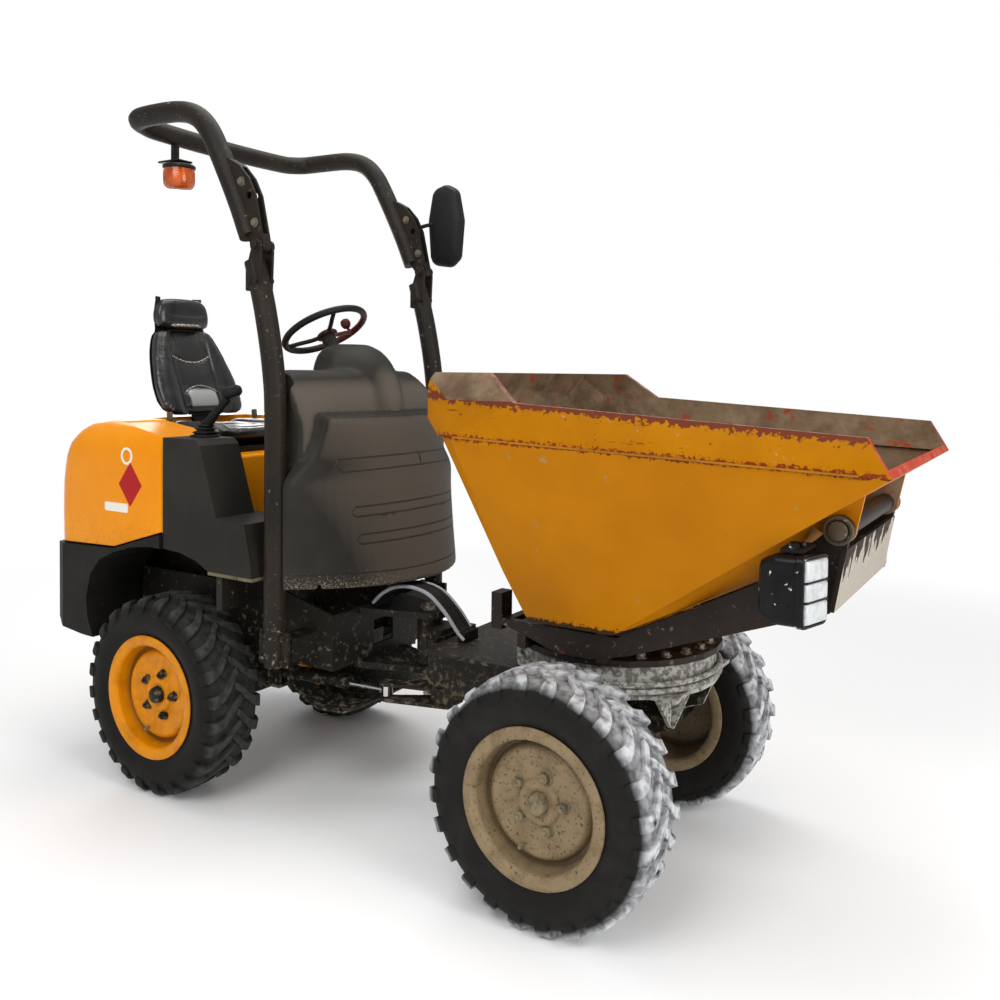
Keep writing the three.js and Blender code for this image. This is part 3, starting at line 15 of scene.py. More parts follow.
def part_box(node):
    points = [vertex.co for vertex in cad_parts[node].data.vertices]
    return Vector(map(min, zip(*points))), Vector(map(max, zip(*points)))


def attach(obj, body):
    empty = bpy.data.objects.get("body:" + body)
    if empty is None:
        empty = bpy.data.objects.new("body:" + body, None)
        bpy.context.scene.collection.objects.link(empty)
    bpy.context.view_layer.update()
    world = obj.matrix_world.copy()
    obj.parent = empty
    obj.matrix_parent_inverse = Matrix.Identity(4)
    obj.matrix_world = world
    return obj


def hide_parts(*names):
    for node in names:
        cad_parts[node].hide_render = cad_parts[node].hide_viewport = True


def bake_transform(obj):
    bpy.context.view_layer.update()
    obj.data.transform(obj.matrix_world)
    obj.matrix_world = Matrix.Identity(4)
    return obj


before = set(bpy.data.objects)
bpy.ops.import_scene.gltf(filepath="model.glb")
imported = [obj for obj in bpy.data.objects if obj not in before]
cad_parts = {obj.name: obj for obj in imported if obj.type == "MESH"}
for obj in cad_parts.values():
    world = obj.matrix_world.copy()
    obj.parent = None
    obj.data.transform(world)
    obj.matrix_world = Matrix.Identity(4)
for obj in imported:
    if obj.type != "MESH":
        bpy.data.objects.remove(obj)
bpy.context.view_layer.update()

# ------------------------------------------------------------------------------------------------
# Camera: a full-frame body with a 34 mm lens, held at eye height off the right-hand front corner.
# The view is turned 31.5 degrees from straight across, with the lens shifted down a little.
# ------------------------------------------------------------------------------------------------

scene = bpy.context.scene
REAR_AXLE_X = sum(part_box("rear_axle"), Vector()).x / 2


def place(x, y, z):
    """A point in the frame, from millimetres ahead of the rear axle, to the left and up."""
    return Vector((REAR_AXLE_X + x / 1000, y / 1000, z / 1000))


camera = bpy.data.objects.new("camera", bpy.data.cameras.new("camera"))
camera.data.sensor_width = 36
camera.data.lens = 34.0
camera.data.shift_x = -0.006
camera.data.shift_y = -0.095
camera.location = place(3033, -2958, 1648)
camera.rotation_euler = [math.radians(turn) for turn in (88.0, -0.74, 31.49)]
scene.collection.objects.link(camera)
scene.camera = camera

# ------------------------------------------------------------------------------------------------
# Studio: a pale matt floor that fades into a white surround, large soft lamps ahead, above the near
# side, overhead and behind, and an even white world. Colours come out about as they are written.
# ------------------------------------------------------------------------------------------------

scene.view_settings.view_transform = "Standard"


def linear(code):
    """An sRGB hex colour as the linear colour that a shader takes."""
    channels = [int(code[i : i + 2], 16) / 255 for i in (0, 2, 4)]
    return (*[c / 12.92 if c < 0.04045 else ((c + 0.055) / 1.055) ** 2.4 for c in channels], 1)


def add(tree, kind, settings=None, links=None):
    """Adds a shader node. A setting names a property or an input; a link gives an input its
    source, which is a node or a (node, output) pair."""
    made = tree.nodes.new("ShaderNode" + kind)
    for key, value in (settings or {}).items():
        if isinstance(key, str) and hasattr(made, key):
            setattr(made, key, value)
        else:
            made.inputs[key].default_value = value
    for key, source in (links or {}).items():
        node, output = source if isinstance(source, tuple) else (source, 0)
        tree.links.new(node.outputs[output], made.inputs[key])
    return made


def material(name):
    """A new material, its node tree, and the link that gives a point's place in metres."""
    made = bpy.data.materials.new(name)
    made.use_nodes = True
    made.node_tree.nodes.clear()
    return made, made.node_tree, (add(made.node_tree, "TexCoord"), "Object")


studio_floor, tree, where = material("pale_studio_floor")
away = add(tree, "VectorMath", {"operation": "LENGTH"}, {0: where})
fade = add(tree, "MapRange", {"From Min": 2.2, "From Max": 5.5}, {0: (away, "Value")})
seen = add(tree, "LightPath")
white = add(tree, "Emission", {"Color": (1, 1, 1, 1), "Strength": 1.0})
matt = add(tree, "BsdfDiffuse", {"Color": linear("F6F6F6")})
directly = add(tree, "Math", {"operation": "MAXIMUM"},
               {0: (seen, "Is Camera Ray"), 1: (seen, "Is Glossy Ray")})
faded = add(tree, "Math", {"operation": "MULTIPLY"}, {0: fade, 1: directly})
mixed = add(tree, "MixShader", {}, {0: faded, 1: matt, 2: white})
add(tree, "OutputMaterial", {}, {0: mixed})

FLOOR_REACH = 40  # metres from the middle to each edge
floor_mesh = bpy.data.meshes.new("floor")
sheet = bmesh.new()
bmesh.ops.create_grid(sheet, x_segments=2, y_segments=2, size=FLOOR_REACH)
sheet.to_mesh(floor_mesh)
floor_mesh.materials.append(studio_floor)
floor = bpy.data.objects.new("floor", floor_mesh)
scene.collection.objects.link(floor)

scene.world = bpy.data.worlds.new("studio")
scene.world.use_nodes = True
tree = scene.world.node_tree
tree.nodes.clear()
seen = add(tree, "LightPath")
directly = add(tree, "Math", {"operation": "MAXIMUM"},
               {0: (seen, "Is Camera Ray"), 1: (seen, "Is Transmission Ray")})
strength = add(tree, "MapRange", {"To Min": 0.5, "To Max": 1.0}, {0: directly})
surround = add(tree, "Background", {"Color": (1, 1, 1, 1)}, {"Strength": strength})
add(tree, "OutputWorld", {}, {0: surround})

MIDDLE = (850, 0, 900)  # where every lamp points
for name, spot, size, power in (
    ("front_lamp", (5600, -900, 2300), 3.0, 120),
    ("key_lamp", (1500, -3900, 4200), 3.2, 112),
    ("sky_lamp", (500, 500, 5200), 4.0, 120),
    ("rear_lamp", (-3600, 2600, 2600), 2.6, 60),
):
    lamp = bpy.data.objects.new(name, bpy.data.lights.new(name, "AREA"))
    lamp.data.shape = "DISK"
    lamp.data.size = size
    lamp.data.energy = power
    lamp.location = place(*spot)
    aim = place(*MIDDLE) - lamp.location
    lamp.rotation_mode = "QUATERNION"
    lamp.rotation_quaternion = aim.to_track_quat("-Z", "Y")
    scene.collection.objects.link(lamp)

# ------------------------------------------------------------------------------------------------
# Chassis: flame-cut and welded mild steel plate, sprayed black at the rear and caked in dried
# cement mud at the front. The CAD frames, axles and pads carry these two coats.
# ------------------------------------------------------------------------------------------------


def patches(tree, where, under, over, size, low, high, detail=5.0):
    """Lays a colour over another in ragged patches about `size` millimetres across. Colours are
    tuples or links; a wider gap from low to high gives softer edges. Returns colour and mask."""
    grain = add(tree, "TexNoise", {"Scale": 1000 / size, "Detail": detail, "Roughness": 0.62},
                {"Vector": where})
    mask = add(tree, "MapRange", {"From Min": low, "From Max": high}, {0: grain})
    colours = {6: under, 7: over}
    fixed = {key: colour for key, colour in colours.items() if len(colour) == 4}
    linked = {key: colour for key, colour in colours.items() if len(colour) == 2}
    mix = add(tree, "Mix", {"data_type": "RGBA", **fixed}, {0: mask, **linked})
    return (mix, 2), mask


DUSTY_GLOSS = 0.18  # the share of a clean surface's gloss that dust and weather have left


def surface(tree, colour, roughness, bump=None, depth=1.0, **fixed):
    """The main shader with its output. The bump is a height link, and its depth millimetres."""
    settings = {"Roughness": roughness} if isinstance(roughness, float) else {}
    settings["Specular IOR Level"] = DUSTY_GLOSS
    settings.update({key.replace("_", " "): value for key, value in fixed.items()})
    links = {} if isinstance(roughness, float) else {"Roughness": roughness}
    if len(colour) == 4:
        settings["Base Color"] = colour
    else:
        links["Base Color"] = colour
    if bump:
        links["Normal"] = add(tree, "Bump", {"Distance": depth / 1000, "Strength": 1.0},
                              {"Height": bump})
    shader = add(tree, "BsdfPrincipled", settings, links)
    add(tree, "OutputMaterial", {}, {0: shader})
    return shader


def coated_steel(name, paint, worn, mud, rust, mud_line, mud_most):
    """Brushed-on black enamel over rolled plate: it has gone matt, with dust lying in soft
    patches, dried splashes that thin out above mud_line (mm) and a few rusty chips."""
    made, tree, where = material(name)
    colour, _ = patches(tree, where, linear(paint), linear(worn), 260, 0.42, 0.72)
    colour, chips = patches(tree, where, colour, linear(rust), 38, 0.66, 0.70, 8.0)
    height = add(tree, "SeparateXYZ", {}, {0: where})
    low_down = add(tree, "MapRange", {"From Min": mud_line / 1000, "From Max": 0.30,
                                      "To Min": 0.62, "To Max": mud_most}, {0: (height, "Z")})
    splash = add(tree, "TexNoise", {"Scale": 1000 / 24, "Detail": 9.0, "Roughness": 0.7},
                 {"Vector": where})
    over = add(tree, "Math", {"operation": "SUBTRACT"}, {0: splash, 1: low_down})
    mask = add(tree, "MapRange", {"From Min": 0.0, "From Max": 0.06}, {0: over})
    mix = add(tree, "Mix", {"data_type": "RGBA", 7: linear(mud)}, {0: mask, 6: colour})
    rough = add(tree, "MapRange", {"To Min": 0.5, "To Max": 0.9}, {0: mask})
    lumps = add(tree, "Math", {"operation": "ADD"}, {0: mask, 1: chips})
    surface(tree, (mix, 2), rough, lumps, 0.6)
    return made


black_enamel = coated_steel("black_enamel_dusty", "1C1A16", "2B2821", "6B6453", "43281A", 900, 0.50)
frame_mud = coated_steel("muddy_front_frame", "1B1813", "2B261E", "5F5646", "3E2A1C", 900, 0.46)
cement_mud = coated_steel("cement_mud_on_steel", "5E5C56", "84827B", "A6A49D", "54402C", 1500, 0.40)
RING_MOUNT_X = 1830  # wet cement falls on the frame ahead of here


def ease_edges(thing, width, angle):
    """Takes the sharpness off edges that turn more than angle degrees, by width millimetres."""
    ease = thing.modifiers.new("eased_edges", "BEVEL")
    ease.width = width / 1000
    ease.segments = 2
    ease.angle_limit = math.radians(angle)


def dress(name, finish, sharp=32, bevel=0.0):
    """Gives a CAD node its finish, rounded shading up to the sharp angle, and eased edges."""
    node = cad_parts[name]
    node.data.materials.clear()
    node.data.materials.append(finish)
    node.data.polygons.foreach_set("material_index", [0] * len(node.data.polygons))
    node.data.shade_smooth()
    node.data.set_sharp_from_angle(angle=math.radians(sharp))
    if bevel:
        ease_edges(node, bevel, 40)


for name in ("rear_frame", "rear_axle", "belly_guard"):
    dress(name, black_enamel, bevel=2)
for name in ("front_frame", "front_axle"):
    dress(name, frame_mud, bevel=2)
for name in ("slew_ring_fixed", "slew_ring_turning"):
    dress(name, cement_mud, bevel=2)
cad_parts["front_frame"].data.materials.append(cement_mud)
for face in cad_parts["front_frame"].data.polygons:
    if face.center.x > place(RING_MOUNT_X, 0, 0).x:
        face.material_index = 1

# ------------------------------------------------------------------------------------------------
# Wheels: pressed and welded 15.3 inch steel rims on five studs, with cross-ply tyres whose moulded
# bars alternate from side to side. The rear rims are still yellow; mud has dried over the front.
# ------------------------------------------------------------------------------------------------


def skin(shape, rows, around=True, ends=True):
    """Lays quads over rows of points. A row closes on itself, and flat ends can cap the stack."""
    rings = [[shape.verts.new(point) for point in row] for row in rows]
    for low, high in zip(rings, rings[1:]):
        for i in range(len(low) if around else len(low) - 1):
            j = (i + 1) % len(low)
            shape.faces.new((low[i], low[j], high[j], high[i]))
    if ends:
        shape.faces.new(rings[0][::-1])
        shape.faces.new(rings[-1])
    return shape


def piece(name, body, finish, shape, sharp=30, bevel=0.0, instead_of=()):
    """Makes a mesh piece from a bmesh in the frame's metres, and fixes it to its body, if any."""
    bmesh.ops.remove_doubles(shape, verts=shape.verts, dist=1e-6)
    bmesh.ops.recalc_face_normals(shape, faces=shape.faces)
    mesh = bpy.data.meshes.new(name)
    shape.to_mesh(mesh)
    shape.free()
    mesh.materials.append(finish)
    mesh.shade_smooth()
    mesh.set_sharp_from_angle(angle=math.radians(sharp))
    made = bpy.data.objects.new(name, mesh)
    scene.collection.objects.link(made)
    if bevel:
        ease_edges(made, bevel, 35)
    if body:
        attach(made, body)
    if instead_of:
        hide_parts(*instead_of)
    return made


def across(axis):
    """Two directions square to an axis and to each other."""
    axis = Vector(axis).normalized()
    first = axis.orthogonal().normalized()
    return first, axis.cross(first)


def turned(shape, profile, centre, axis, segments=64, closed=False):
    """Turns a (radius, along) profile in millimetres round an axis through a placed centre."""
    u, v = across(axis)
    axis = Vector(axis).normalized()
    rows = []
    for i in range(segments):
        angle = 2 * math.pi * i / segments
        out = u * math.cos(angle) + v * math.sin(angle)
        rows.append([centre + (out * r + axis * a) / 1000 for r, a in profile])
    return skin(shape, [*rows, rows[0]], around=closed, ends=False)


def bolt(shape, x, y, z, axis, wide=24, high=14):
    """A hexagon head on a round washer, its axis leaving the face that it clamps."""
    washer = [(0, 0), (wide * 0.78, 0), (wide * 0.78, 3), (0, 3)]
    flats = wide / 2 / math.cos(math.pi / 6)
    head = [(0, 3), (flats, 3), (flats, high - 2), (flats * 0.86, high), (0, high)]
    turned(shape, washer, place(x, y, z), axis, 20)
    turned(shape, head, place(x, y, z), axis, 6)


def eased(a, b, c, d, t):
    """The value a share t of the way from b to c, on a smooth run through all four."""
    return 0.5 * (2 * b + (c - a) * t + (2 * a - 5 * b + 4 * c - d) * t**2
                  + (3 * b - a - 3 * c + d) * t**3)


def spline(points, step):
    """A smooth run through points in millimetres, with a point about every step."""
    points = [Vector(point) for point in points]
    ends = [points[0] * 2 - points[1], *points, points[-1] * 2 - points[-2]]
    run = []
    for a, b, c, d in zip(ends, ends[1:], ends[2:], ends[3:]):
        count = max(1, round((c - b).length / step))
        run += [eased(a, b, c, d, i / count) for i in range(count)]
    return [*run, points[-1]]


def pipe(shape, points, radius, sides=14, step=20):
    """A round bar or pipe with flat ends along a smooth run of points in millimetres."""
    run = spline(points, step)
    side = across(run[1] - run[0])[0]
    rows = []
    for i, point in enumerate(run):
        ahead = (run[min(i + 1, len(run) - 1)] - run[max(i - 1, 0)]).normalized()
        side = (side - ahead * side.dot(ahead)).normalized()
        other = ahead.cross(side)
        row = []
        for k in range(sides):
            angle = 2 * math.pi * k / sides
            spot = point + (side * math.cos(angle) + other * math.sin(angle)) * radius
            row.append(place(*spot))
        rows.append(row)
    return skin(shape, rows)


WHEELBASE = 1697
AXLES = {"rear": 0, "front": WHEELBASE}
HUB_Z = 380
TRACK = 495  # from the middle to a tyre's centre
BARS = 24  # on each half of the tread
BAR_CURVE = 380  # the radius that a bar's shift is measured round
NUTS = 5
NUT_CIRCLE = 82
DISC_FACE = 58  # how far the disc stands out from the tyre's centre at its nuts
VALVE_CIRCLE = 150
VALVE_TURN = 3.5  # radians round from the top


def radial(tree, where, axle_x):
    """The distance in metres from an axle's centre line."""
    centre = tuple(place(axle_x, 0, HUB_Z))
    moved = add(tree, "VectorMath", {"operation": "SUBTRACT", 1: centre}, {0: where})
    flat = add(tree, "VectorMath", {"operation": "MULTIPLY", 1: (1, 0, 1)}, {0: moved})
    return add(tree, "VectorMath", {"operation": "LENGTH"}, {0: flat}), "Value"


def tyre_rubber(name, axle_x, rubber, dust, tread_dust, cake):
    """Vulcanised black rubber, matt and a little grey with age. Dust lies thin on the walls and
    thickly on the bars, which rub it into a pale bloom."""
    made, tree, where = material(name)
    far = radial(tree, where, axle_x)
    colour, _ = patches(tree, where, linear(rubber), linear(dust), 90, 0.48, 0.80)
    tread = add(tree, "MapRange", {"From Min": 0.345, "From Max": 0.372}, {0: far})
    grain = add(tree, "TexNoise", {"Scale": 1000 / 30, "Detail": 8.0}, {"Vector": where})
    loose = add(tree, "MapRange", {"From Min": 0.24, "From Max": 0.60}, {0: grain})
    amount = add(tree, "Math", {"operation": "MULTIPLY"}, {0: tread, 1: loose})
    amount = add(tree, "Math", {"operation": "MULTIPLY", 1: cake}, {0: amount})
    mix = add(tree, "Mix", {"data_type": "RGBA", 7: linear(tread_dust)}, {0: amount, 6: colour})
    fine = add(tree, "TexNoise", {"Scale": 1000 / 5, "Detail": 6.0}, {"Vector": where})
    rough = add(tree, "MapRange", {"To Min": 0.62, "To Max": 0.95}, {0: amount})
    surface(tree, (mix, 2), rough, fine, 0.5)
    return made


def rim_enamel(name, axle_x, paint, shade, dirt, spread, depth):
    """Air-dried enamel over a pressed disc. It is glossy where it is clean; road dirt lies in small
    patches, and stone chips let brown steel through. The ring in the gutter where the disc meets
    the
    barrel is darkened with the dirt colour: painted shade in that recess."""
    made, tree, where = material(name)
    far = radial(tree, where, axle_x)
    colour, _ = patches(tree, where, linear(paint), linear(shade), 70, 0.44, 0.66)
    colour, caked = patches(tree, where, colour, linear(dirt), 9, spread, spread + 0.10, 9.0)
    # Painted shade: a dark ring from 165 to 196 mm out, in the gutter where the disc meets the
    # barrel.
    gutter = add(tree, "MapRange", {"From Min": 0.165, "From Max": 0.178}, {0: far})
    outer = add(tree, "MapRange", {"From Min": 0.196, "From Max": 0.188}, {0: far})
    ring = add(tree, "Math", {"operation": "MULTIPLY"}, {0: gutter, 1: outer})
    ring = add(tree, "Math", {"operation": "MULTIPLY", 1: 0.75}, {0: ring})
    mix = add(tree, "Mix", {"data_type": "RGBA", 7: linear(dirt)}, {0: ring, 6: colour})
    rough = add(tree, "MapRange", {"To Min": 0.38, "To Max": 0.85}, {0: caked})
    surface(tree, (mix, 2), rough, caked, depth)
    return made


rubber = {
    "rear": tyre_rubber("tyre_rubber_rear", 0, "100F0D", "1C1A17", "4A4A49", 0.75),
    "front": tyre_rubber("tyre_rubber_front", WHEELBASE, "151412", "242220", "C6C8CB", 0.97),
}
rim_coat = {
    "rear": rim_enamel("yellow_rim_enamel", 0, "DC8A00", "C27600", "4A3418", 0.66, 0.2),
    "front": rim_enamel("mud_caked_rim", WHEELBASE, "8C795C", "78664C", "4A3D2C", 0.57, 0.9),
}
zinc = coated_steel("zinc_plated_nuts", "5A5347", "6F6656", "85795F", "5A3A22", 1200, 0.40)

RIM_PROFILE = [  # radius, distance out, round the whole section
    (229, 117.3), (236, 116), (238.2, 112.6), (236, 109.2), (230, 108.4), (213, 108.4),
    (205, 103), (205, -103), (213, -108.4), (230, -108.4), (236, -109.2), (238.2, -112.6),
    (236, -116), (229, -117.3), (207, -116), (198, -108), (195, -97), (195, 26),
    (186, 38), (168, 44), (90, 42), (33, 40), (33, 66), (44, 70), (58, 72), (66, 70), (72, 62),
    (88, 59), (110, 59), (135, 66), (152, 71), (163, 68), (171, 58), (178, 50), (186, 50),
    (192, 58), (195, 74), (195, 98), (198, 109), (207, 116),
]
TYRE_PROFILE = [  # radius, distance out; the other half mirrors it
    (206, 104), (214, 107.6), (243, 108), (262, 116), (284, 122), (306, 123), (328, 119),
    (342, 113), (352, 104), (359, 88), (362, 60), (363, 30), (363, 0),
]
BAR_STATIONS = [  # distance out, top radius, shift round, width
    (-12, 378.5, -16, 26), (8, 380, 0, 32), (34, 380, 30, 35), (60, 379.6, 56, 36),
    (84, 378, 70, 38), (100, 375, 75, 42), (111, 368, 77, 46), (118, 356, 78, 48),
    (122.5, 342, 78, 49), (124.5, 328, 78, 44),
]


def tyre(end, x, side):
    """The carcass is one turned skin; each bar is a swept block let into it."""
    shape = bmesh.new()
    centre = place(x, side * TRACK, HUB_Z)
    mirror_side = [(r, -a) for r, a in TYRE_PROFILE[-2::-1]]
    turned(shape, TYRE_PROFILE + mirror_side, centre, (0, 1, 0), 96, closed=True)
    for half in (-1, 1):
        for i in range(BARS):
            turn = 2 * math.pi * (i + 0.25 * half) / BARS
            rows = []
            for y, top, shift, wide in BAR_STATIONS:
                base = 356 if y < 100 else min(350, top - 18)
                row = []
                for r, edge in ((base, -0.56), (top, -0.5), (top, 0.5), (base, 0.56)):
                    angle = turn + (shift + edge * wide) / BAR_CURVE
                    inward = 0 if r == top or y < 100 else 12
                    spot = (r * math.sin(angle), half * (y - inward), r * math.cos(angle))
                    row.append(centre + Vector(spot) / 1000)
                rows.append(row)
            skin(shape, rows)
    side_name = "left" if side > 0 else "right"
    piece(f"{end}_tyre_{side_name}_tread", f"{end}_wheel_{side_name}", rubber[end], shape,
          34, 2.5, [f"{end}_tyre_{side_name}"])


def rim(end, x, side):
    """A turned rim and disc with a valve hole, five nuts on their studs, and a pressed hub cap."""
    side_name = "left" if side > 0 else "right"
    body = f"{end}_wheel_{side_name}"
    centre = place(x, side * TRACK, HUB_Z)
    out = (0, side, 0)
    shape = turned(bmesh.new(), RIM_PROFILE, centre, out, 80, closed=True)
    piece(f"{end}_rim_{side_name}_disc", body, rim_coat[end], shape, 40, 0,
          [f"{end}_rim_{side_name}"])
    shape = bmesh.new()
    cap = [(0, 95), (20, 94), (28, 90), (31, 82), (32, 66), (32, 40), (0, 40)]
    turned(shape, cap, centre, out, 32)
    for i in range(NUTS):
        angle = 2 * math.pi * (i + 0.2) / NUTS
        nut_x, nut_z = x + NUT_CIRCLE * math.sin(angle), HUB_Z + NUT_CIRCLE * math.cos(angle)
        bolt(shape, nut_x, side * (TRACK + DISC_FACE), nut_z, out, 27, 22)
        bolt(shape, nut_x, side * (TRACK + DISC_FACE + 14), nut_z, out, 13, 16)
    finish = black_enamel if end == "rear" else zinc
    piece(f"{end}_wheel_{side_name}_nuts", body, finish, shape, 30, 0.8)
    shape = bmesh.new()
    spot = (x + VALVE_CIRCLE * math.sin(VALVE_TURN), side * (TRACK + 62),
            HUB_Z + VALVE_CIRCLE * math.cos(VALVE_TURN))
    tip = (spot[0], spot[1] + side * 26, spot[2])
    pipe(shape, [spot, tip], 5, 10, 8)
    turned(shape, [(5, 0), (9, 0), (9, 5), (5, 5)], place(*spot) + Vector((0, side * 0.012, 0)),
           out, 12, closed=True)
    piece(f"{end}_valve_{side_name}", body, zinc, shape, 30)


for end, x in AXLES.items():
    for side in (-1, 1):
        tyre(end, x, side)
        rim(end, x, side)

# ------------------------------------------------------------------------------------------------
# Rear bumper and engine: a thick cast and painted counterweight that wraps the engine bay, with
# the engine behind it. The bumper's black paint is chalky, and rust runs from its lower corner.
# ------------------------------------------------------------------------------------------------


def bumper_paint():
    """Thick black paint over cast iron: slightly green where dust sits, with a broad brown
    patch low at the rear corner and small chips along the edges."""
    made, tree, where = material("black_paint_on_casting")
    colour, _ = patches(tree, where, linear("12110E"), linear("211F1A"), 180, 0.40, 0.75)
    colour, chips = patches(tree, where, colour, linear("6B4A30"), 26, 0.67, 0.70, 9.0)
    spot = add(tree, "VectorMath", {"operation": "DISTANCE", 1: tuple(place(-690, -420, 690))},
               {0: where})
    near = add(tree, "MapRange", {"From Min": 0.19, "From Max": 0.02}, {0: (spot, "Value")})
    run = add(tree, "TexNoise", {"Scale": 26.0, "Detail": 8.0}, {"Vector": where})
    run = add(tree, "MapRange", {"From Min": 0.40, "From Max": 0.62}, {0: run})
    rusty = add(tree, "Math", {"operation": "MULTIPLY"}, {0: near, 1: run})
    mix = add(tree, "Mix", {"data_type": "RGBA", 7: linear("6A4428")}, {0: rusty, 6: colour})
    surface(tree, (mix, 2), 0.62, chips, 0.4)
    return made


dress("rear_bumper", bumper_paint(), bevel=9)
dress("engine_block", black_enamel, bevel=5)

# ------------------------------------------------------------------------------------------------
# Engine cover: one glass-fibre moulding, sprayed flame yellow, hinged at its rear lower edge. A
# recess in its top takes the seat. Its corners are large radii, and its edge has a rolled lip.
# ------------------------------------------------------------------------------------------------


def carve(shape, *tools, operation="DIFFERENCE"):
    """A closed shape less other closed shapes, or joined to them, by exact solid geometry."""
    made = []
    for part in (shape, *tools):
        bmesh.ops.remove_doubles(part, verts=part.verts, dist=1e-6)
        bmesh.ops.recalc_face_normals(part, faces=part.faces)
        mesh = bpy.data.meshes.new("carving")
        part.to_mesh(mesh)
        part.free()
        made.append(bpy.data.objects.new("carving", mesh))
        scene.collection.objects.link(made[-1])
    for tool in made[1:]:
        step = made[0].modifiers.new("carve", "BOOLEAN")
        step.operation = operation
        step.solver = "MANIFOLD"
        step.object = tool
    bpy.context.view_layer.update()
    result = bmesh.new()
    result.from_object(made[0], bpy.context.evaluated_depsgraph_get())
    for part in made:
        mesh = part.data
        bpy.data.objects.remove(part)
        bpy.data.meshes.remove(mesh)
    return result


def slab(shape, outline, low, high, along="y"):
    """A plate cut to an outline in millimetres: (x, z) across y, (y, z) across x or (x, y) up z."""
    order = {"y": (0, 2, 1), "x": (1, 2, 0), "z": (0, 1, 2)}[along]
    rows = []
    for level in (low, high):
        row = []
        for a, b in outline:
            spot = [0.0, 0.0, 0.0]
            spot[order[0]], spot[order[1]], spot[order[2]] = a, b, level
            row.append(place(*spot))
        rows.append(row)
    return skin(shape, rows)


def rounded(corners, steps=7):
    """A closed outline of (x, y) with each (x, y, radius) corner turned into an arc."""
    points = []
    for i, (x, y, radius) in enumerate(corners):
        here = Vector((x, y))
        back = (Vector(corners[i - 1][:2]) - here).normalized()
        on = (Vector(corners[(i + 1) % len(corners)][:2]) - here).normalized()
        half = back.angle(on) / 2
        reach = radius / math.tan(half)
        start, end = here + back * reach, here + on * reach
        middle = here + (back + on).normalized() * (radius / math.sin(half))
        sweep = (start - middle).angle_signed(end - middle)
        for k in range(steps + 1):
            turn = Matrix.Rotation(-sweep * k / steps, 2)
            points.append(tuple(middle + turn @ (start - middle)))
    return points


def between(levels, z):
    """Values at a height, smoothly read off a table whose rows start with their own height."""
    rows = [levels[0], *levels, levels[-1]]
    for before, low, high, after in zip(rows, rows[1:], rows[2:], rows[3:]):
        if low[0] <= z <= high[0]:
            t = (z - low[0]) / (high[0] - low[0])
            return [eased(a, b, c, d, t)
                    for a, b, c, d in zip(before[1:], low[1:], high[1:], after[1:])]
    raise ValueError("height outside the table")


HOOD_LEVELS = [  # height, rear face, half width
    (885, -683, 558), (1030, -684, 560), (1170, -680, 560), (1270, -661, 560),
    (1330, -634, 556), (1380, -592, 536), (1410, -549, 511), (1428, -495, 470),
]
HOOD_STEPS = [885, 960, 1030, 1100, 1170, 1225, 1270, 1300, 1330, 1356, 1380, 1396, 1410, 1420,
              1428]
HOOD_TOP = 1428
HOOD_SIDE = 560.2
HOOD_WALL = 8
HOOD_CORNER = 118


def hood_stack(inset):
    """The cover's outlines from its foot to its top, all moved inwards by inset."""
    rows = []
    for z in HOOD_STEPS:
        rear, half = between(HOOD_LEVELS, z)
        front = 18 - inset * 0.5
        corners = [(rear + inset, -half + inset, HOOD_CORNER - inset),
                   (front, -half + inset, 20), (front, half - inset, 20),
                   (rear + inset, half - inset, HOOD_CORNER - inset)]
        level = z - inset if z == HOOD_TOP else z
        rows.append([place(x, y, level) for x, y in rounded(corners)])
    return skin(bmesh.new(), rows)


def hood():
    """The moulding is turned out of its stack of outlines, then trimmed and recessed."""
    shell = hood_stack(0)
    room = hood_stack(HOOD_WALL)
    trim_low = slab(bmesh.new(), [(60, 860), (60, 1011), (6, 1011), (-274, 929), (-760, 912.8),
                                  (-760, 860)], -700, 700)
    trim_top = slab(bmesh.new(), [(60, 1372), (19, 1378), (-297, 1423), (-330, 1460), (60, 1460)],
                    -700, 700)
    recess = slab(bmesh.new(), [(-430, 1290), (80, 1290), (80, 1500), (-436, 1500)], -285, 285)
    outer = carve(shell, trim_low, trim_top, recess)
    room_floor = slab(bmesh.new(), [(-438, 1282), (80, 1282), (80, 1500), (-446, 1500)], -293, 293)
    room_top = slab(bmesh.new(), [(60, 1364), (19, 1370), (-297, 1415), (-330, 1460), (60, 1460)],
                    -700, 700)
    inner = carve(room, room_floor, room_top)
    shell = carve(outer, inner)
    tongue = slab(bmesh.new(), rounded([(-12, 900, 4), (58, 900, 14), (58, 1288, 14),
                                        (-12, 1288, 4)], 4), -362, 362)
    return carve(shell, tongue, operation="UNION")


def gelcoat():
    """Sprayed polyester gelcoat: an even flame yellow that has kept its gloss, paler where the sun
    falls, with a faint brown film of dust towards the bottom edge."""
    made, tree, where = material("yellow_gelcoat")
    colour, _ = patches(tree, where, linear("E68A00"), linear("F09A06"), 420, 0.35, 0.70, 3.0)
    height = add(tree, "SeparateXYZ", {}, {0: where})
    low = add(tree, "MapRange", {"From Min": 1.10, "From Max": 0.90}, {0: (height, "Z")})
    film = add(tree, "TexNoise", {"Scale": 45.0, "Detail": 8.0}, {"Vector": where})
    film = add(tree, "MapRange", {"From Min": 0.50, "From Max": 0.80}, {0: film})
    film = add(tree, "Math", {"operation": "MULTIPLY"}, {0: film, 1: low})
    film = add(tree, "Math", {"operation": "MULTIPLY", 1: 0.6}, {0: film})
    mix = add(tree, "Mix", {"data_type": "RGBA", 7: linear("9C6A22")}, {0: film, 6: colour})
    rough = add(tree, "MapRange", {"To Min": 0.30, "To Max": 0.6}, {0: film})
    peel = add(tree, "TexNoise", {"Scale": 1000 / 9, "Detail": 2.0}, {"Vector": where})
    surface(tree, (mix, 2), rough, peel, 0.12, Specular_IOR_Level=0.16)
    return made


yellow_gelcoat = gelcoat()
piece("engine_cover_moulding", "engine_cover", yellow_gelcoat, hood(), 24, 5,
      ["engine_hood"])


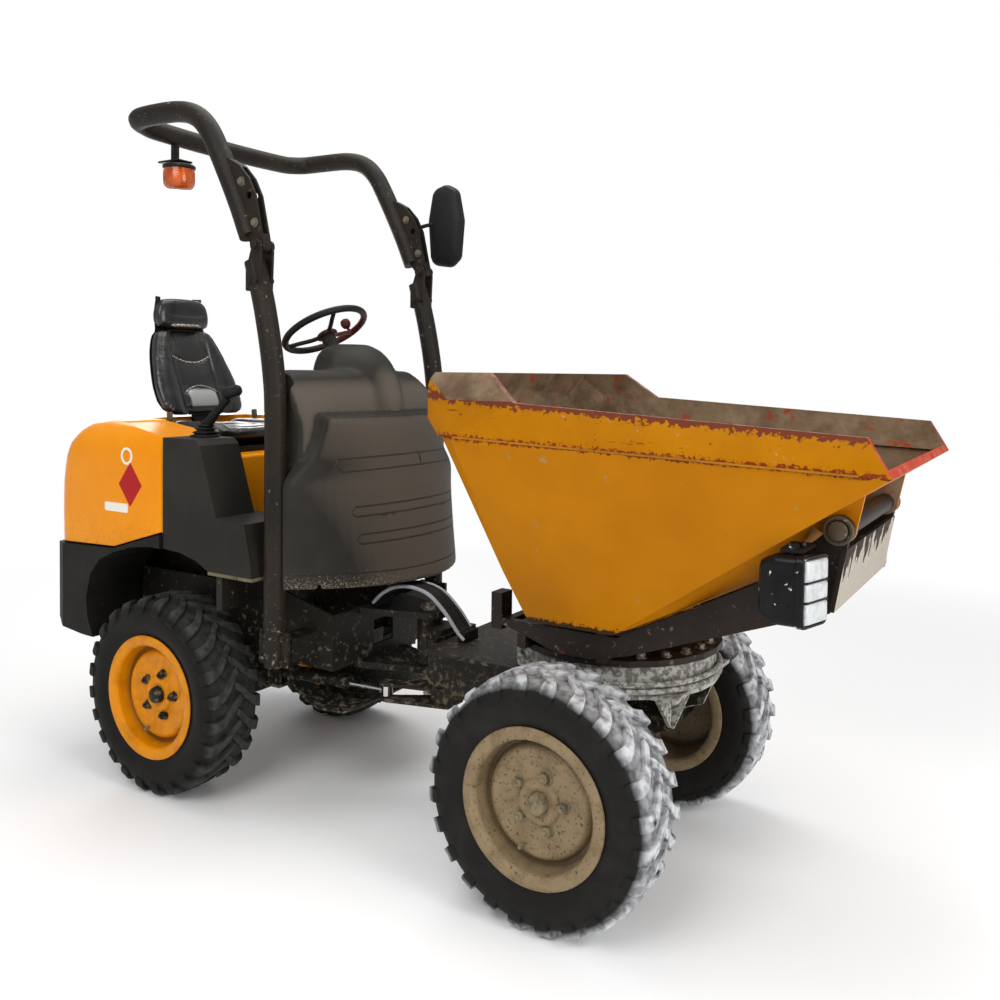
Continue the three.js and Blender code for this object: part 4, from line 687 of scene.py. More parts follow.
def sheet_vinyl(name, code, rough=0.35):
    """Printed self-adhesive vinyl: one flat colour, a little glossy, with a dusty edge."""
    made, tree, where = material(name)
    colour, mask = patches(tree, where, linear(code), linear("6B5A44"), 16, 0.66, 0.80, 8.0)
    surface(tree, colour, rough, mask, 0.1)
    return made


def sticker(name, body, finish, outline, y, side=-1):
    """A thin label on a side wall, from an (x, z) outline."""
    faces = sorted((side * y, side * (y + 0.9)))
    piece(name, body, finish, slab(bmesh.new(), outline, *faces), 30)


red_vinyl = sheet_vinyl("red_label_vinyl", "A80A10")
white_vinyl = sheet_vinyl("white_label_vinyl", "E9E4DA")
DIAMOND_X, DIAMOND_Z = -170, 1184
DIAMOND = [(DIAMOND_X - 70, DIAMOND_Z), (DIAMOND_X, DIAMOND_Z - 88),
           (DIAMOND_X + 70, DIAMOND_Z), (DIAMOND_X, DIAMOND_Z + 88)]
LABEL = [(DIAMOND_X - 158, 1070, 8), (DIAMOND_X - 14, 1070, 8), (DIAMOND_X - 14, 1106, 8),
         (DIAMOND_X - 158, 1106, 8)]
for side, word in ((-1, "right"), (1, "left")):
    sticker(f"red_diamond_{word}", "engine_cover", red_vinyl, DIAMOND, HOOD_SIDE, side)
    sticker(f"blank_label_{word}", "engine_cover", white_vinyl, rounded(LABEL, 4), HOOD_SIDE, side)
    ring = turned(bmesh.new(), [(24, 0), (35, 0), (35, 1.2), (24, 1.2)],
                  place(DIAMOND_X - 22, side * (HOOD_SIDE - 0.8), 1296), (0, side, 0), 40,
                  closed=True)
    piece(f"pale_ring_{word}", "engine_cover", white_vinyl, ring, 30)

# ------------------------------------------------------------------------------------------------
# Side consoles, floor and front cowl: rotationally moulded polythene in a warm dark grey, bolted
# to the frame. The cowl has a raised hump for the column, a ledge, and pressed-in grooves.
# ------------------------------------------------------------------------------------------------


def moulded_plastic(name, base, worn, dust, dust_line, blown=0.0):
    """Rotomoulded polythene: a fine leather-like grain and no gloss. It greys where it is rubbed,
    and fine dust lies towards the bottom in speckles. The grain is drawn at 4 mm to show. Faces
    that look ahead are mixed towards a paler grey, by the share in blown: painted light on the
    lit front of the moulding, not dust."""
    made, tree, where = material(name)
    colour, _ = patches(tree, where, linear(base), linear(worn), 240, 0.38, 0.78, 3.0)
    height = add(tree, "SeparateXYZ", {}, {0: where})
    low = add(tree, "MapRange", {"From Min": dust_line / 1000, "From Max": 0.84, "To Min": 0.70,
                                 "To Max": 0.44}, {0: (height, "Z")})
    specks = add(tree, "TexNoise", {"Scale": 1000 / 7, "Detail": 8.0, "Roughness": 0.7},
                 {"Vector": where})
    over = add(tree, "Math", {"operation": "SUBTRACT"}, {0: specks, 1: low})
    mask = add(tree, "MapRange", {"From Max": 0.09}, {0: over})
    mix = add(tree, "Mix", {"data_type": "RGBA", 7: linear(dust)}, {0: mask, 6: colour})
    # Painted light: faces that look ahead are made paler, standing for the light on the cowl's
    # front.
    if blown:
        facing = add(tree, "SeparateXYZ", {}, {0: (where[0], "Normal")})
        ahead = add(tree, "MapRange", {"From Min": 0.80, "From Max": 1.0, "To Max": blown},
                    {0: (facing, "X")})
        mix = add(tree, "Mix", {"data_type": "RGBA", 7: linear("7E756A")}, {0: ahead, 6: (mix, 2)})
    grain = add(tree, "TexNoise", {"Scale": 1000 / 4, "Detail": 4.0}, {"Vector": where})
    rough = add(tree, "MapRange", {"To Min": 0.56, "To Max": 0.85}, {0: mask})
    surface(tree, (mix, 2), rough, grain, 0.25)
    return made


grey_plastic = moulded_plastic("moulded_polythene", "201D19", "2B2824", "7A7366", 930)
# The cowl's polythene: real dust speckles low down, plus painted light on the faces that look
# ahead.
dust_and_painted_light_plastic = moulded_plastic("dusty_polythene_with_painted_light", "24211C", "302D28", "7A7366", 960, 0.62)
for name in ("side_console_right", "side_console_left"):
    dress(name, grey_plastic, bevel=12)
dress("floor_plate", coated_steel("floor_mud", "5E5643", "6F6550", "8B8068", "3F2E1E", 1100, 0.45),
      bevel=3)

COWL_PANEL = [  # height, half width, side x, nose x
    (850, 500, 596, 903), (1050, 500, 615, 860), (1180, 500, 626, 826), (1240, 497, 633, 812),
    (1290, 452, 644, 798), (1330, 408, 655, 785), (1400, 384, 672, 766), (1478, 372, 690, 744),
]
PANEL_BACK = 540
COWL_DASH = [  # height, half width, side x, nose x, back x
    (1200, 440, 600, 640, 500), (1420, 435, 620, 690, 480), (1530, 462, 606, 680, 474),
    (1590, 476, 590, 665, 470), (1625, 456, 574, 642, 478), (1646, 415, 560, 620, 490),
]
COWL_HUMP = [
    (1500, 190, 560, 712, 452), (1580, 186, 554, 697, 436), (1640, 178, 540, 672, 425),
    (1690, 163, 526, 638, 427), (1725, 140, 510, 600, 432), (1745, 108, 498, 565, 442),
    (1752, 84, 490, 545, 450),
]


def cowl_ring(z, half, side_x, nose_x, back_x, inset):
    """A level of the cowl: a straight back, and a front that bows out to its nose."""
    count = 28
    row = []
    for i in range(count + 1):
        part = -1 + 2 * i / count
        bow = 1 - abs(part) ** 2.2
        row.append(place(side_x - inset + (nose_x - side_x) * bow, part * (half - inset), z))
    return [*row, place(back_x + inset, half - inset, z), place(back_x + inset, inset - half, z)]


def cowl_stack(table, inset, step=22):
    """One of the cowl's rounded forms, from its table of levels, moved inwards by inset."""
    rows = []
    low, high = table[0][0], table[-1][0]
    count = round((high - low) / step)
    for i in range(count + 1):
        z = low + (high - low) * i / count
        values = between(table, z)
        back = values[3] if len(values) > 3 else PANEL_BACK
        drop = inset if i == count else 0
        rows.append(cowl_ring(z - drop, values[0], values[1], values[2], back, inset))
    return skin(bmesh.new(), rows)


def block(shape, xs, ys, zs):
    """A rectangular block between two x, two y and two z."""
    outline = [(xs[0], ys[0]), (xs[1], ys[0]), (xs[1], ys[1]), (xs[0], ys[1])]
    return slab(shape, outline, zs[0], zs[1], "z")


def cowl():
    """The three rounded forms run into each other, as they do in the mould, and are then
    hollowed from below, notched for the hoop posts and grooved."""
    outer = carve(cowl_stack(COWL_PANEL, 0), cowl_stack(COWL_DASH, 0), cowl_stack(COWL_HUMP, 0),
                  operation="UNION")
    shoulder = slab(bmesh.new(), [(192, 1664), (470, 1462), (560, 1396), (560, 1800),
                                  (192, 1800)], 380, 800, "x")
    outer = carve(outer, shoulder)
    mesh = bpy.data.meshes.new("soft_form")
    outer.to_mesh(mesh)
    outer.free()
    form = bpy.data.objects.new("soft_form", mesh)
    scene.collection.objects.link(form)
    mould = form.modifiers.new("mould", "REMESH")
    mould.mode = "VOXEL"
    mould.voxel_size = 0.009
    ease = form.modifiers.new("radii", "SMOOTH")
    ease.iterations = 14
    ease.factor = 0.5
    bpy.context.view_layer.update()
    outer = bmesh.new()
    outer.from_object(form, bpy.context.evaluated_depsgraph_get())
    bpy.data.objects.remove(form)
    bpy.data.meshes.remove(mesh)
    tree = BVHTree.FromBMesh(outer)

    def groove(points, radius):
        """A pressed line: (y, z) points carried back on to the moulding's face."""
        run = []
        for y, z in points:
            hit = tree.ray_cast(place(1200, y, z), Vector((-1, 0, 0)))[0]
            if hit:
                run.append(((hit.x - REAR_AXLE_X) * 1000 + radius * 0.35, y, z))
        return pipe(bmesh.new(), run, radius, 8, 14)

    tools = []
    for z0, drop, tail in ((1316, 46, 330), (1140, 34, 300), (1040, 34, 292)):
        top = [(y, z0 + 10 * (1 - (y / 400) ** 2)) for y in range(-tail, tail + 1, 30)]
        low = [(y, z - drop) for y, z in top]
        tools.append(groove([*top, (tail + 16, z0 - drop / 2 + 2), *low[::-1],
                             (-tail - 16, z0 - drop / 2 + 2), top[0]], 3.4))
    tools.append(groove([(40, 1330), (52, 1320), (56, 1302), (52, 1284), (62, 1276)], 5))
    tools.append(groove([(y, 906) for y in range(-470, 471, 30)], 3.0))
    shape = carve(outer, *tools)
    low_cut = block(bmesh.new(), (300, 1100), (-700, 700), (700, 852))
    shape = carve(shape, low_cut)
    notches = []
    for side in (-1, 1):
        ys = sorted((side * 444, side * 700))
        notches.append(block(bmesh.new(), (300, 596), ys, (600, 1900)))
    shape = carve(shape, *notches)
    inside = [cowl_stack(COWL_PANEL, 12), cowl_stack(COWL_DASH, 14)]
    room = carve(*inside, operation="UNION")
    keep_out = [slab(bmesh.new(), [(180, 1650), (458, 1446), (560, 1376), (560, 1800),
                                   (180, 1800)], 380, 800, "x")]
    for side in (-1, 1):
        ys = sorted((side * 432, side * 700))
        keep_out.append(block(bmesh.new(), (300, 608), ys, (600, 1900)))
    room = carve(room, *keep_out)
    drop = block(bmesh.new(), (556, 700), (-420, 420), (800, 870))
    room = carve(room, drop, operation="UNION")
    shape = carve(shape, room)
    column = pipe(bmesh.new(), [(350, 0, 1790), (520, 0, 1496)], 36, 28)
    return carve(shape, column)


# The cowl's finish carries painted light on its forward faces.
piece("front_cowl_moulding", "rear_module", dust_and_painted_light_plastic, cowl(), 50, 0,
      ["front_cowl"])

# ------------------------------------------------------------------------------------------------
# Roll-over hoop: 80 mm round steel tube bent to shape, with flame-cut cheeks on the fixed posts
# and gusset lugs on the folding part. Each side folds on a pin and is locked by a second one.
# ------------------------------------------------------------------------------------------------

hoop_paint = coated_steel("hoop_enamel", "1B1712", "29221B", "7D7462", "4B2F1C", 900, 0.50)
HOOP_Y = 490  # from the middle to each tube
HOOP_TUBE = 40  # the tube's outer radius
FOLD_PIN = (480, 2092)
LOCK_PIN = (430, 2276)
CHEEK_BOLTS = ((455, 1962), (486, 1968))
LUG_BOLTS = ((392, 2330), (462, 2176))
POST = [(550, 570), (550, 900), (550, 1450), (538, 1640), (498, 1850), (444, 2040)]
LEG = [(418, 2130), (356, 2266), (258, 2450), (196, 2548), (126, 2606), (24, 2634), (-140, 2640)]
CHEEK = [(430, 1930, 6), (500, 1925, 6), (506, 2072, 14), (502, 2110, 16), (470, 2116, 16),
         (450, 2062, 8), (430, 2000, 8)]
LUG = [(458, 2078, 6), (480, 2064, 14), (504, 2078, 8), (506, 2098, 8), (464, 2276, 26),
       (430, 2340, 26), (380, 2392, 20), (318, 2424, 12), (285, 2400, 4), (400, 2150, 4)]


def ringed(x, z, radius, low, high, sides=24):
    """A round bar across the machine, for a hole or a pin."""
    return pipe(bmesh.new(), [(x, low, z), (x, high, z)], radius, sides, 500)


for side, word in ((-1, "right"), (1, "left")):
    y = side * HOOP_Y
    post = pipe(bmesh.new(), [(x, y, z) for x, z in POST], HOOP_TUBE, 28, 24)
    for low in (-34, 24):
        slab(post, rounded(CHEEK, 4), y + low, y + low + 10)
    block(post, (480, 620), (y - 8, y + 8), (571, 699))
    for x, z in CHEEK_BOLTS:
        bolt(post, x, y - 34, z, (0, -1, 0), 20, 11)
        bolt(post, x, y + 34, z, (0, 1, 0), 20, 11)
    pin_x, pin_z = FOLD_PIN
    pipe(post, [(pin_x, y - 42, pin_z), (pin_x, y + 42, pin_z)], 10, 20, 100)
    for end in (-1, 1):
        bolt(post, pin_x, y + end * 36, pin_z, (0, end, 0), 30, 12)
    for x in (500, 600):
        for z in (592, 678):
            bolt(post, x, y - 8, z, (0, -1, 0), 22, 12)
            bolt(post, x, y + 8, z, (0, 1, 0), 22, 12)
    piece(f"hoop_post_{word}_tube", "rear_module", hoop_paint, post, 34, 1.5,
          [f"hoop_post_{word}"])


def folding_hoop():
    """The bent tube, and the two hollowed lugs that fold between the posts' cheeks."""
    run = [(x, -HOOP_Y, z) for x, z in LEG]
    run += [(-226, -476, 2638), (-256, -420, 2630), (-263, -330, 2623), (-264, 0, 2618)]
    run += [(x, -y, z) for x, y, z in run[-2::-1]]
    tube = pipe(bmesh.new(), run, HOOP_TUBE, 28, 22)
    lugs = []
    for side in (-1, 1):
        y = side * HOOP_Y
        lug = slab(bmesh.new(), rounded(LUG, 4), y - 20, y + 20)
        hollow = slab(bmesh.new(), [(330, 2330), (470, 2120), (600, 2200), (520, 2420),
                                    (420, 2420)], y - 12, y + 12)
        lugs.append(carve(lug, hollow, ringed(*FOLD_PIN, 11, y - 30, y + 30),
                          ringed(*LOCK_PIN, 14, y - 30, y + 30)))
    return tube, lugs


hoop_tube, hoop_lugs = folding_hoop()
slab(hoop_tube, rounded([(-284, 2498, 3), (-160, 2498, 3), (-160, 2506, 3), (-284, 2506, 3)], 2),
     -340, -264)
block(hoop_tube, (-282, -242), (-276, -264), (2500, 2600))
piece("folding_hoop_tube", "hoop", hoop_paint, hoop_tube, 34, 1.5,
      ["folding_hoop"])
for lug, word, y in zip(hoop_lugs, ("right", "left"), (-HOOP_Y, HOOP_Y)):
    piece(f"folding_hoop_lug_{word}", "hoop", hoop_paint, lug, 34, 1.5)
    shape = bmesh.new()
    for x, z in LUG_BOLTS:
        bolt(shape, x, y - 20, z, (0, -1, 0), 22, 12)
        bolt(shape, x, y + 20, z, (0, 1, 0), 22, 12)
    piece(f"hoop_lug_bolts_{word}", "hoop", zinc, shape, 30, 0.8)

# ------------------------------------------------------------------------------------------------
# Beacon and mirror: a flashing lamp under an amber acrylic dome on a black base, hung below the
# crossbar, and a round-cornered mirror in a black plastic shell on a short stalk.
# ------------------------------------------------------------------------------------------------


def amber():
    """Injection-moulded acrylic, tinted amber: glossy outside, with fine upright prisms that
    break up the light, and a darker orange towards the base."""
    made, tree, where = material("amber_acrylic")
    colour, _ = patches(tree, where, linear("D5600A"), linear("8E2E04"), 50, 0.35, 0.75)
    flutes = add(tree, "TexWave", {"wave_type": "RINGS", "Scale": 32.0, "Distortion": 1.0},
                 {"Vector": where})
    surface(tree, colour, 0.16, flutes, 0.5, Transmission_Weight=0.35, Coat_Weight=0.6)
    return made


BEACON = (-200, -300, 2442)
dome = turned(
    bmesh.new(),
    [(0, -56), (40, -56), (54, -50), (62, -38), (65, -18), (65, 8), (62, 28), (58, 30), (0, 30)],
    place(*BEACON), (0, 0, 1), 56,
)
piece("beacon_dome", "hoop", amber(), dome, 40, 0, ["beacon"])
base = turned(bmesh.new(), [(0, 30), (61, 30), (66, 33), (66, 42), (60, 47), (40, 50), (24, 55.6),
                            (0, 55.6)], place(*BEACON), (0, 0, 1), 48)
piece("beacon_base", "hoop", black_enamel, base, 30, 1)

black_abs = moulded_plastic("black_abs_shell", "161515", "242322", "6A6458", 900)


def mirror():
    """A shell lofted through three rounded outlines, with a lip round the glass."""
    outline = [(452, 2135, 40), (560, 2120, 40), (606, 2160, 36), (620, 2330, 60), (590, 2470, 50),
               (530, 2500, 40), (462, 2480, 40), (436, 2340, 60)]
    ring = [Vector(point) for point in rounded(outline, 5)]
    middle = sum(ring, Vector((0, 0))) / len(ring)
    rows = []
    for y, shrink in ((563, 0.55), (566, 0.78), (574, 0.93), (586, 0.985), (604, 1.0), (611, 0.99),
                      (611, 0.95), (605, 0.94)):
        level = [middle + (point - middle) * shrink for point in ring]
        rows.append([place(point.x, y, point.y) for point in level])
    shape = skin(bmesh.new(), rows)
    pipe(shape, [(400, 540, 2300), (430, 560, 2312), (470, 572, 2320)], 9, 14, 10)
    slab(shape, rounded([(354, 2262, 8), (408, 2262, 8), (408, 2318, 8), (354, 2318, 8)], 3),
         530.4, 543.6)
    return shape


piece("mirror_shell", "hoop", black_abs, mirror(), 34, 0, ["mirror"])

# ------------------------------------------------------------------------------------------------
# Controls: a steering wheel of soft black moulding round a steel ring, worn to a red-brown where
# hands hold it, and a drive lever that comes up through a rubber bellows on the right console.
# ------------------------------------------------------------------------------------------------


def wheel_grip():
    """Moulded black urethane: dull, with a rubbed, reddish stretch on the right of the rim."""
    made, tree, where = material("wheel_urethane")
    spot = add(tree, "VectorMath", {"operation": "DISTANCE", 1: tuple(place(385, 130, 1800))},
               {0: where})
    near = add(tree, "MapRange", {"From Min": 0.20, "From Max": 0.05}, {0: (spot, "Value")})
    mix = add(tree, "Mix", {"data_type": "RGBA", 6: linear("1A1918"), 7: linear("501A14")},
              {0: near})
    grain = add(tree, "TexNoise", {"Scale": 1000 / 4, "Detail": 4.0}, {"Vector": where})
    surface(tree, (mix, 2), 0.5, grain, 0.3)
    return made


WHEEL_AXIS = Vector((-0.5, 0, 0.866))
HUB = Vector((350, 0, 1790))
grip = wheel_grip()
ring_profile = [
    (172 + 14 * math.cos(2 * math.pi * k / 16), 26 + 14 * math.sin(2 * math.pi * k / 16))
    for k in range(16)
]
shape = turned(bmesh.new(), ring_profile, place(*HUB), WHEEL_AXIS, 72, closed=True)
hub_profile = [(0, -8), (38, -8), (44, -4), (44, 6), (38, 12), (26, 14.5), (0, 15)]
turned(shape, hub_profile, place(*HUB), WHEEL_AXIS, 32)
u = Vector((0.866, 0, 0.5))
v = WHEEL_AXIS.cross(u)
for degrees in (90, 210, 330):
    angle = math.radians(degrees)
    out = u * math.cos(angle) + v * math.sin(angle)
    pipe(shape, [tuple(HUB + out * r + WHEEL_AXIS * h) for r, h in
                 ((30, 4), (70, 8), (120, 18), (166, 26))], 9, 12, 12)
knob = HUB + v * 150 + WHEEL_AXIS * 44
pipe(shape, [tuple(HUB + v * 160 + WHEEL_AXIS * 26), tuple(knob)], 6, 10, 8)
turned(shape, [(0, 0), (14, 2), (20, 12), (22, 24), (18, 36), (8, 42), (0, 43)], place(*knob),
       WHEEL_AXIS, 24)
piece("steering_wheel_rim", "steering_wheel", grip, shape, 40, 0,
      ["steering_wheel"])
dress("steering_column", black_enamel)

rubber_black = tyre_rubber("bellows_rubber", 0, "191818", "2A2927", "2A2927", 0.0)
rows = []
for i in range(25):
    t = i / 24
    pleat = 5 * math.sin(t * math.pi * 9) if i < 23 else 0
    half_x = 43 - 28 * t + pleat
    half_y = 39 - 25 * t + pleat
    x, y = 105 + 2 * t, -425 + 3 * t
    corners = [(x - half_x, y - half_y, 8), (x + half_x, y - half_y, 8),
               (x + half_x, y + half_y, 8), (x - half_x, y + half_y, 8)]
    rows.append([place(a, b, 1381 + 61 * t) for a, b in rounded(corners, 3)])
shape = skin(bmesh.new(), rows)
stalk = [(0, -4), (17, 0), (19, 30), (16, 70), (14, 104), (17, 132), (16, 142), (0, 146)]
turned(shape, stalk, place(108, -423, 1424), (0.62, 0.20, 0.76), 24)
grip_form = [(0, -36), (12, -35), (19, -28), (23, -14), (21, 4), (20, 18), (22, 30), (15, 40),
             (0, 42)]
turned(shape, grip_form, place(208, -388, 1556), (0.86, 0.42, 0.28), 28)
piece("drive_lever_and_bellows", "rear_module", rubber_black, shape, 40, 0,
      ["drive_lever"])

# ------------------------------------------------------------------------------------------------
# Seat: black PVC-coated cloth sewn over foam, on a pressed steel pan. The cushion and the back have
# a stitched middle between firm side bolsters; a headrest is laced over the top of a moulded shell.
# ------------------------------------------------------------------------------------------------


def seat_vinyl():
    """Expanded vinyl with an embossed leather grain and a light sheen. Sitting has polished the
    middle, and pale dust lies in the grain. The small panel at the foot of the back's middle is
    painted pale grey: a painted reflection on its glossy face, not wear. The grain is drawn at
    6 mm so that it shows."""
    made, tree, where = material("black_seat_vinyl")
    colour, dusty = patches(tree, where, linear("121110"), linear("2C2924"), 120, 0.50, 0.84)
    cells = add(tree, "TexVoronoi", {"Scale": 1000 / 6}, {"Vector": where})
    folds = add(tree, "TexNoise", {"Scale": 1000 / 45, "Detail": 3.0}, {"Vector": where})
    height = add(tree, "Math", {"operation": "MULTIPLY_ADD", 1: 0.35}, {0: cells, 2: folds})
    rough = add(tree, "MapRange", {"To Min": 0.30, "To Max": 0.58}, {0: dusty})
    # Painted reflection: a pale grey panel low in the middle of the back, up to 80 mm either side
    # of the middle and 1472 to 1556 mm up.
    split = add(tree, "SeparateXYZ", {}, {0: where})
    side = add(tree, "Math", {"operation": "ABSOLUTE"}, {0: (split, "Y")})
    across_it = add(tree, "MapRange", {"From Min": 0.080, "From Max": 0.072}, {0: side})
    foot = add(tree, "MapRange", {"From Min": 1.472, "From Max": 1.480}, {0: (split, "Z")})
    head = add(tree, "MapRange", {"From Min": 1.556, "From Max": 1.546}, {0: (split, "Z")})
    panel = add(tree, "Math", {"operation": "MULTIPLY"}, {0: foot, 1: head})
    panel = add(tree, "Math", {"operation": "MULTIPLY"}, {0: panel, 1: across_it})
    panel = add(tree, "Math", {"operation": "MULTIPLY", 1: 0.8}, {0: panel})
    mix = add(tree, "Mix", {"data_type": "RGBA", 7: linear("A5A6A3")}, {0: panel, 6: colour})
    surface(tree, (mix, 2), rough, height, 0.9, Specular_IOR_Level=0.45, Coat_Weight=0.25)
    return made


vinyl = seat_vinyl()
THREAD_PULL = 0.0034  # metres that the thread sinks into the pad
THREAD_REACH = 5.0  # millimetres either side of a seam that it draws in


def unplace(spot):
    """A point of the frame, back in millimetres ahead of the rear axle, to the left and up."""
    return Vector(((spot.x - REAR_AXLE_X) * 1000, spot.y * 1000, spot.z * 1000))


def plump(name, shape, seam, sculpt, most):
    """Upholstery: a foam form is remeshed fine and shaped, its cover is held along the sewn lines
    and blown up against them, and the thread then pulls each line in. seam gives a point's
    distance from the nearest line, sculpt moves a point, and most is the furthest that one
    swells."""
    bmesh.ops.remove_doubles(shape, verts=shape.verts, dist=1e-6)
    bmesh.ops.recalc_face_normals(shape, faces=shape.faces)
    rough_form = bpy.data.meshes.new("foam")
    shape.to_mesh(rough_form)
    shape.free()
    pad = bpy.data.objects.new(name, rough_form)
    scene.collection.objects.link(pad)
    foam = pad.modifiers.new("foam", "REMESH")
    foam.mode = "VOXEL"
    foam.voxel_size = 0.006
    bpy.context.view_layer.update()
    fine = bpy.data.meshes.new_from_object(
        pad.evaluated_get(bpy.context.evaluated_depsgraph_get())
    )
    pad.modifiers.clear()
    pad.data = fine
    for vertex in fine.vertices:
        vertex.co = place(*sculpt(unplace(vertex.co)))
    apart = [seam(unplace(vertex.co)) for vertex in fine.vertices]
    rest = [vertex.co.copy() for vertex in fine.vertices]
    sewn = pad.vertex_groups.new(name="sewn")
    sewn.add([i for i, far in enumerate(apart) if far < 5], 1.0, "REPLACE")
    cover = pad.modifiers.new("cover", "CLOTH")
    cover.settings.quality = 4
    cover.settings.use_pressure = True
    cover.settings.uniform_pressure_force = 4
    cover.settings.effector_weights.gravity = 0
    cover.settings.vertex_group_mass = "sewn"
    for step in range(1, 21):
        scene.frame_set(step)
    blown = pad.evaluated_get(bpy.context.evaluated_depsgraph_get()).data
    swollen = [vertex.co.copy() for vertex in blown.vertices]
    pad.modifiers.clear()
    pad.vertex_groups.clear()
    for vertex, start, end in zip(fine.vertices, rest, swollen):
        move = end - start
        if move.length > most / 1000:
            move *= most / 1000 / move.length
        vertex.co = start + move
    scene.frame_set(1)
    fine.update()
    pulls = [vertex.normal * THREAD_PULL * math.exp(-((far / THREAD_REACH) ** 2))
             for vertex, far in zip(fine.vertices, apart)]
    for vertex, pull in zip(fine.vertices, pulls):
        vertex.co -= pull
    fine.materials.append(vinyl)
    fine.shade_smooth()
    finer = pad.modifiers.new("finer", "SUBSURF")
    finer.levels = finer.render_levels = 1
    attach(pad, "engine_cover")
    return pad


def ease_in(low, high, value):
    """0 below low and 1 above high, with a smooth rise between."""
    t = min(1.0, max(0.0, (value - low) / (high - low)))
    return t * t * (3 - 2 * t)


def cushion_ring(front, back, half, z, power=0.45, sides=44):
    """A squarish closed curve of points at one height."""
    row = []
    for i in range(sides):
        angle = 2 * math.pi * i / sides
        c, s = math.cos(angle), math.sin(angle)
        x = (front + back) / 2 + (front - back) / 2 * math.copysign(abs(s) ** power, s)
        row.append(place(x, half * math.copysign(abs(c) ** power, c), z))
    return row


CUSHION_SEAM_Y = 138
CUSHION_SEAM_X = -104


def cushion():
    """The middle panel dips between the bolsters and rolls down over the front edge."""
    levels = [(1319, -70, -384, 200), (1326, -58, -390, 216), (1348, -42, -394, 225),
              (1384, -44, -394, 225), (1402, -52, -390, 219), (1412, -70, -382, 203)]
    rows = [cushion_ring(front, back, half, z) for z, front, back, half in levels]

    def seam(p):
        """Two fore-and-aft lines, a line across the front roll, and one round the side."""
        if p.z < 1372:
            return abs(p.z - 1362) + 1 if abs(p.y) > 150 or p.x > -100 else 99
        inner = p.x < CUSHION_SEAM_X
        lines = [abs(abs(p.y) - CUSHION_SEAM_Y) if inner else 99]
        if abs(p.y) < CUSHION_SEAM_Y:
            bow = CUSHION_SEAM_X + 16 * (1 - (p.y / CUSHION_SEAM_Y) ** 2)
            lines += [abs(p.x - bow), abs(p.x + 216 - 10 * (p.y / CUSHION_SEAM_Y) ** 2)]
        return min(lines)

    def sculpt(p):
        """Dips the middle of the top face and rolls its front edge down."""
        raised = ease_in(1372, 1412, p.z)
        dip = 17 * (1 - ease_in(0.52, 0.78, abs(p.y) / 224))
        roll = 12 * ease_in(-110, -60, p.x)
        return (p.x, p.y, p.z + raised * (4 - dip - roll))

    return plump("seat_cushion_pad", skin(bmesh.new(), rows), seam, sculpt, 12)


BACK_LEVELS = [  # height, front face, back face, half width
    (1440, -362, -414, 178), (1450, -356, -424, 200), (1468, -360, -436, 216),
    (1500, -372, -456, 225), (1560, -400, -482, 226), (1620, -426, -508, 217),
    (1700, -461, -544, 196), (1750, -483, -564, 178), (1790, -500, -576, 160),
    (1812, -512, -574, 142), (1820, -522, -568, 122),
]
BACK_FOOT, BACK_TOP = 1440, 1820
HEAD_LEVELS = [
    (1828, -524, -574, 112), (1834, -514, -582, 132), (1860, -510, -588, 142),
    (1900, -512, -590, 142), (1932, -516, -586, 132), (1950, -524, -580, 114),
    (1958, -536, -572, 92),
]
HEAD_FOOT, HEAD_TOP = 1828, 1958
SMILE = [(y, 1672 + 30 * (y / 103) ** 2) for y in range(-102, 103, 12)]
ARCH = [(y, 1567 - 28 * (y / 88) ** 2) for y in range(-88, 89, 11)]


def near_run(y, z, run):
    """The distance from a point on the seat's face to a sewn (y, z) run."""
    best = 99.0
    for (y0, z0), (y1, z1) in zip(run, run[1:]):
        along = ((y - y0) * (y1 - y0) + (z - z0) * (z1 - z0)) / ((y1 - y0) ** 2 + (z1 - z0) ** 2)
        along = min(1.0, max(0.0, along))
        best = min(best, math.hypot(y - y0 - (y1 - y0) * along, z - z0 - (z1 - z0) * along))
    return best


def back_middle(z):
    """Half the width of the stitched middle panel of the back at a height."""
    return between([(1400, 104), (1530, 100), (1694, 103), (1830, 100)], min(1829, max(1401, z)))[0]


def backrest():
    """The back narrows to the headrest, with a dipped middle panel and a lumbar swell."""
    rows = []
    for i in range(40):
        z = BACK_FOOT + (BACK_TOP - BACK_FOOT) * i / 39
        front, back, half = between(BACK_LEVELS, z)
        rows.append(cushion_ring(front, back, half, z, 0.5))

    def across_at(z):
        """The middle, front and half width of the back at a height."""
        front, back, half = between(BACK_LEVELS, min(BACK_TOP, max(BACK_FOOT, z)))
        return (front + back) / 2, front, half

    def seam(p):
        """The panel's sides, the curved lines across it, and one round each bolster's edge."""
        centre, _, half = across_at(p.z)
        if p.x < centre - 12:
            return 99.0
        lines = [abs(abs(p.y) - back_middle(p.z))]
        if abs(p.y) < 108:
            lines += [near_run(p.y, p.z, SMILE), near_run(p.y, p.z, ARCH), abs(p.z - 1470)]
        if p.x < centre + 14:
            lines.append(abs(p.x - centre) + 0.5)
        lines.append(abs(abs(p.y) - half * 0.90) if p.z > 1700 and p.x > centre + 20 else 99.0)
        return min(lines)

    def sculpt(p):
        """Sinks the middle of the front face between the bolsters, and swells its foot."""
        centre, front, half = across_at(p.z)
        facing = ease_in(centre, front, p.x)
        dip = 24 * (1 - ease_in(0.46, 0.74, abs(p.y) / half))
        lumbar = 12 * math.exp(-(((p.z - 1512) / 42) ** 2)) * (1 - ease_in(70, 100, abs(p.y)))
        return (p.x - facing * (dip - lumbar), p.y, p.z)

    return plump("seat_back_pad", skin(bmesh.new(), rows), seam, sculpt, 10)


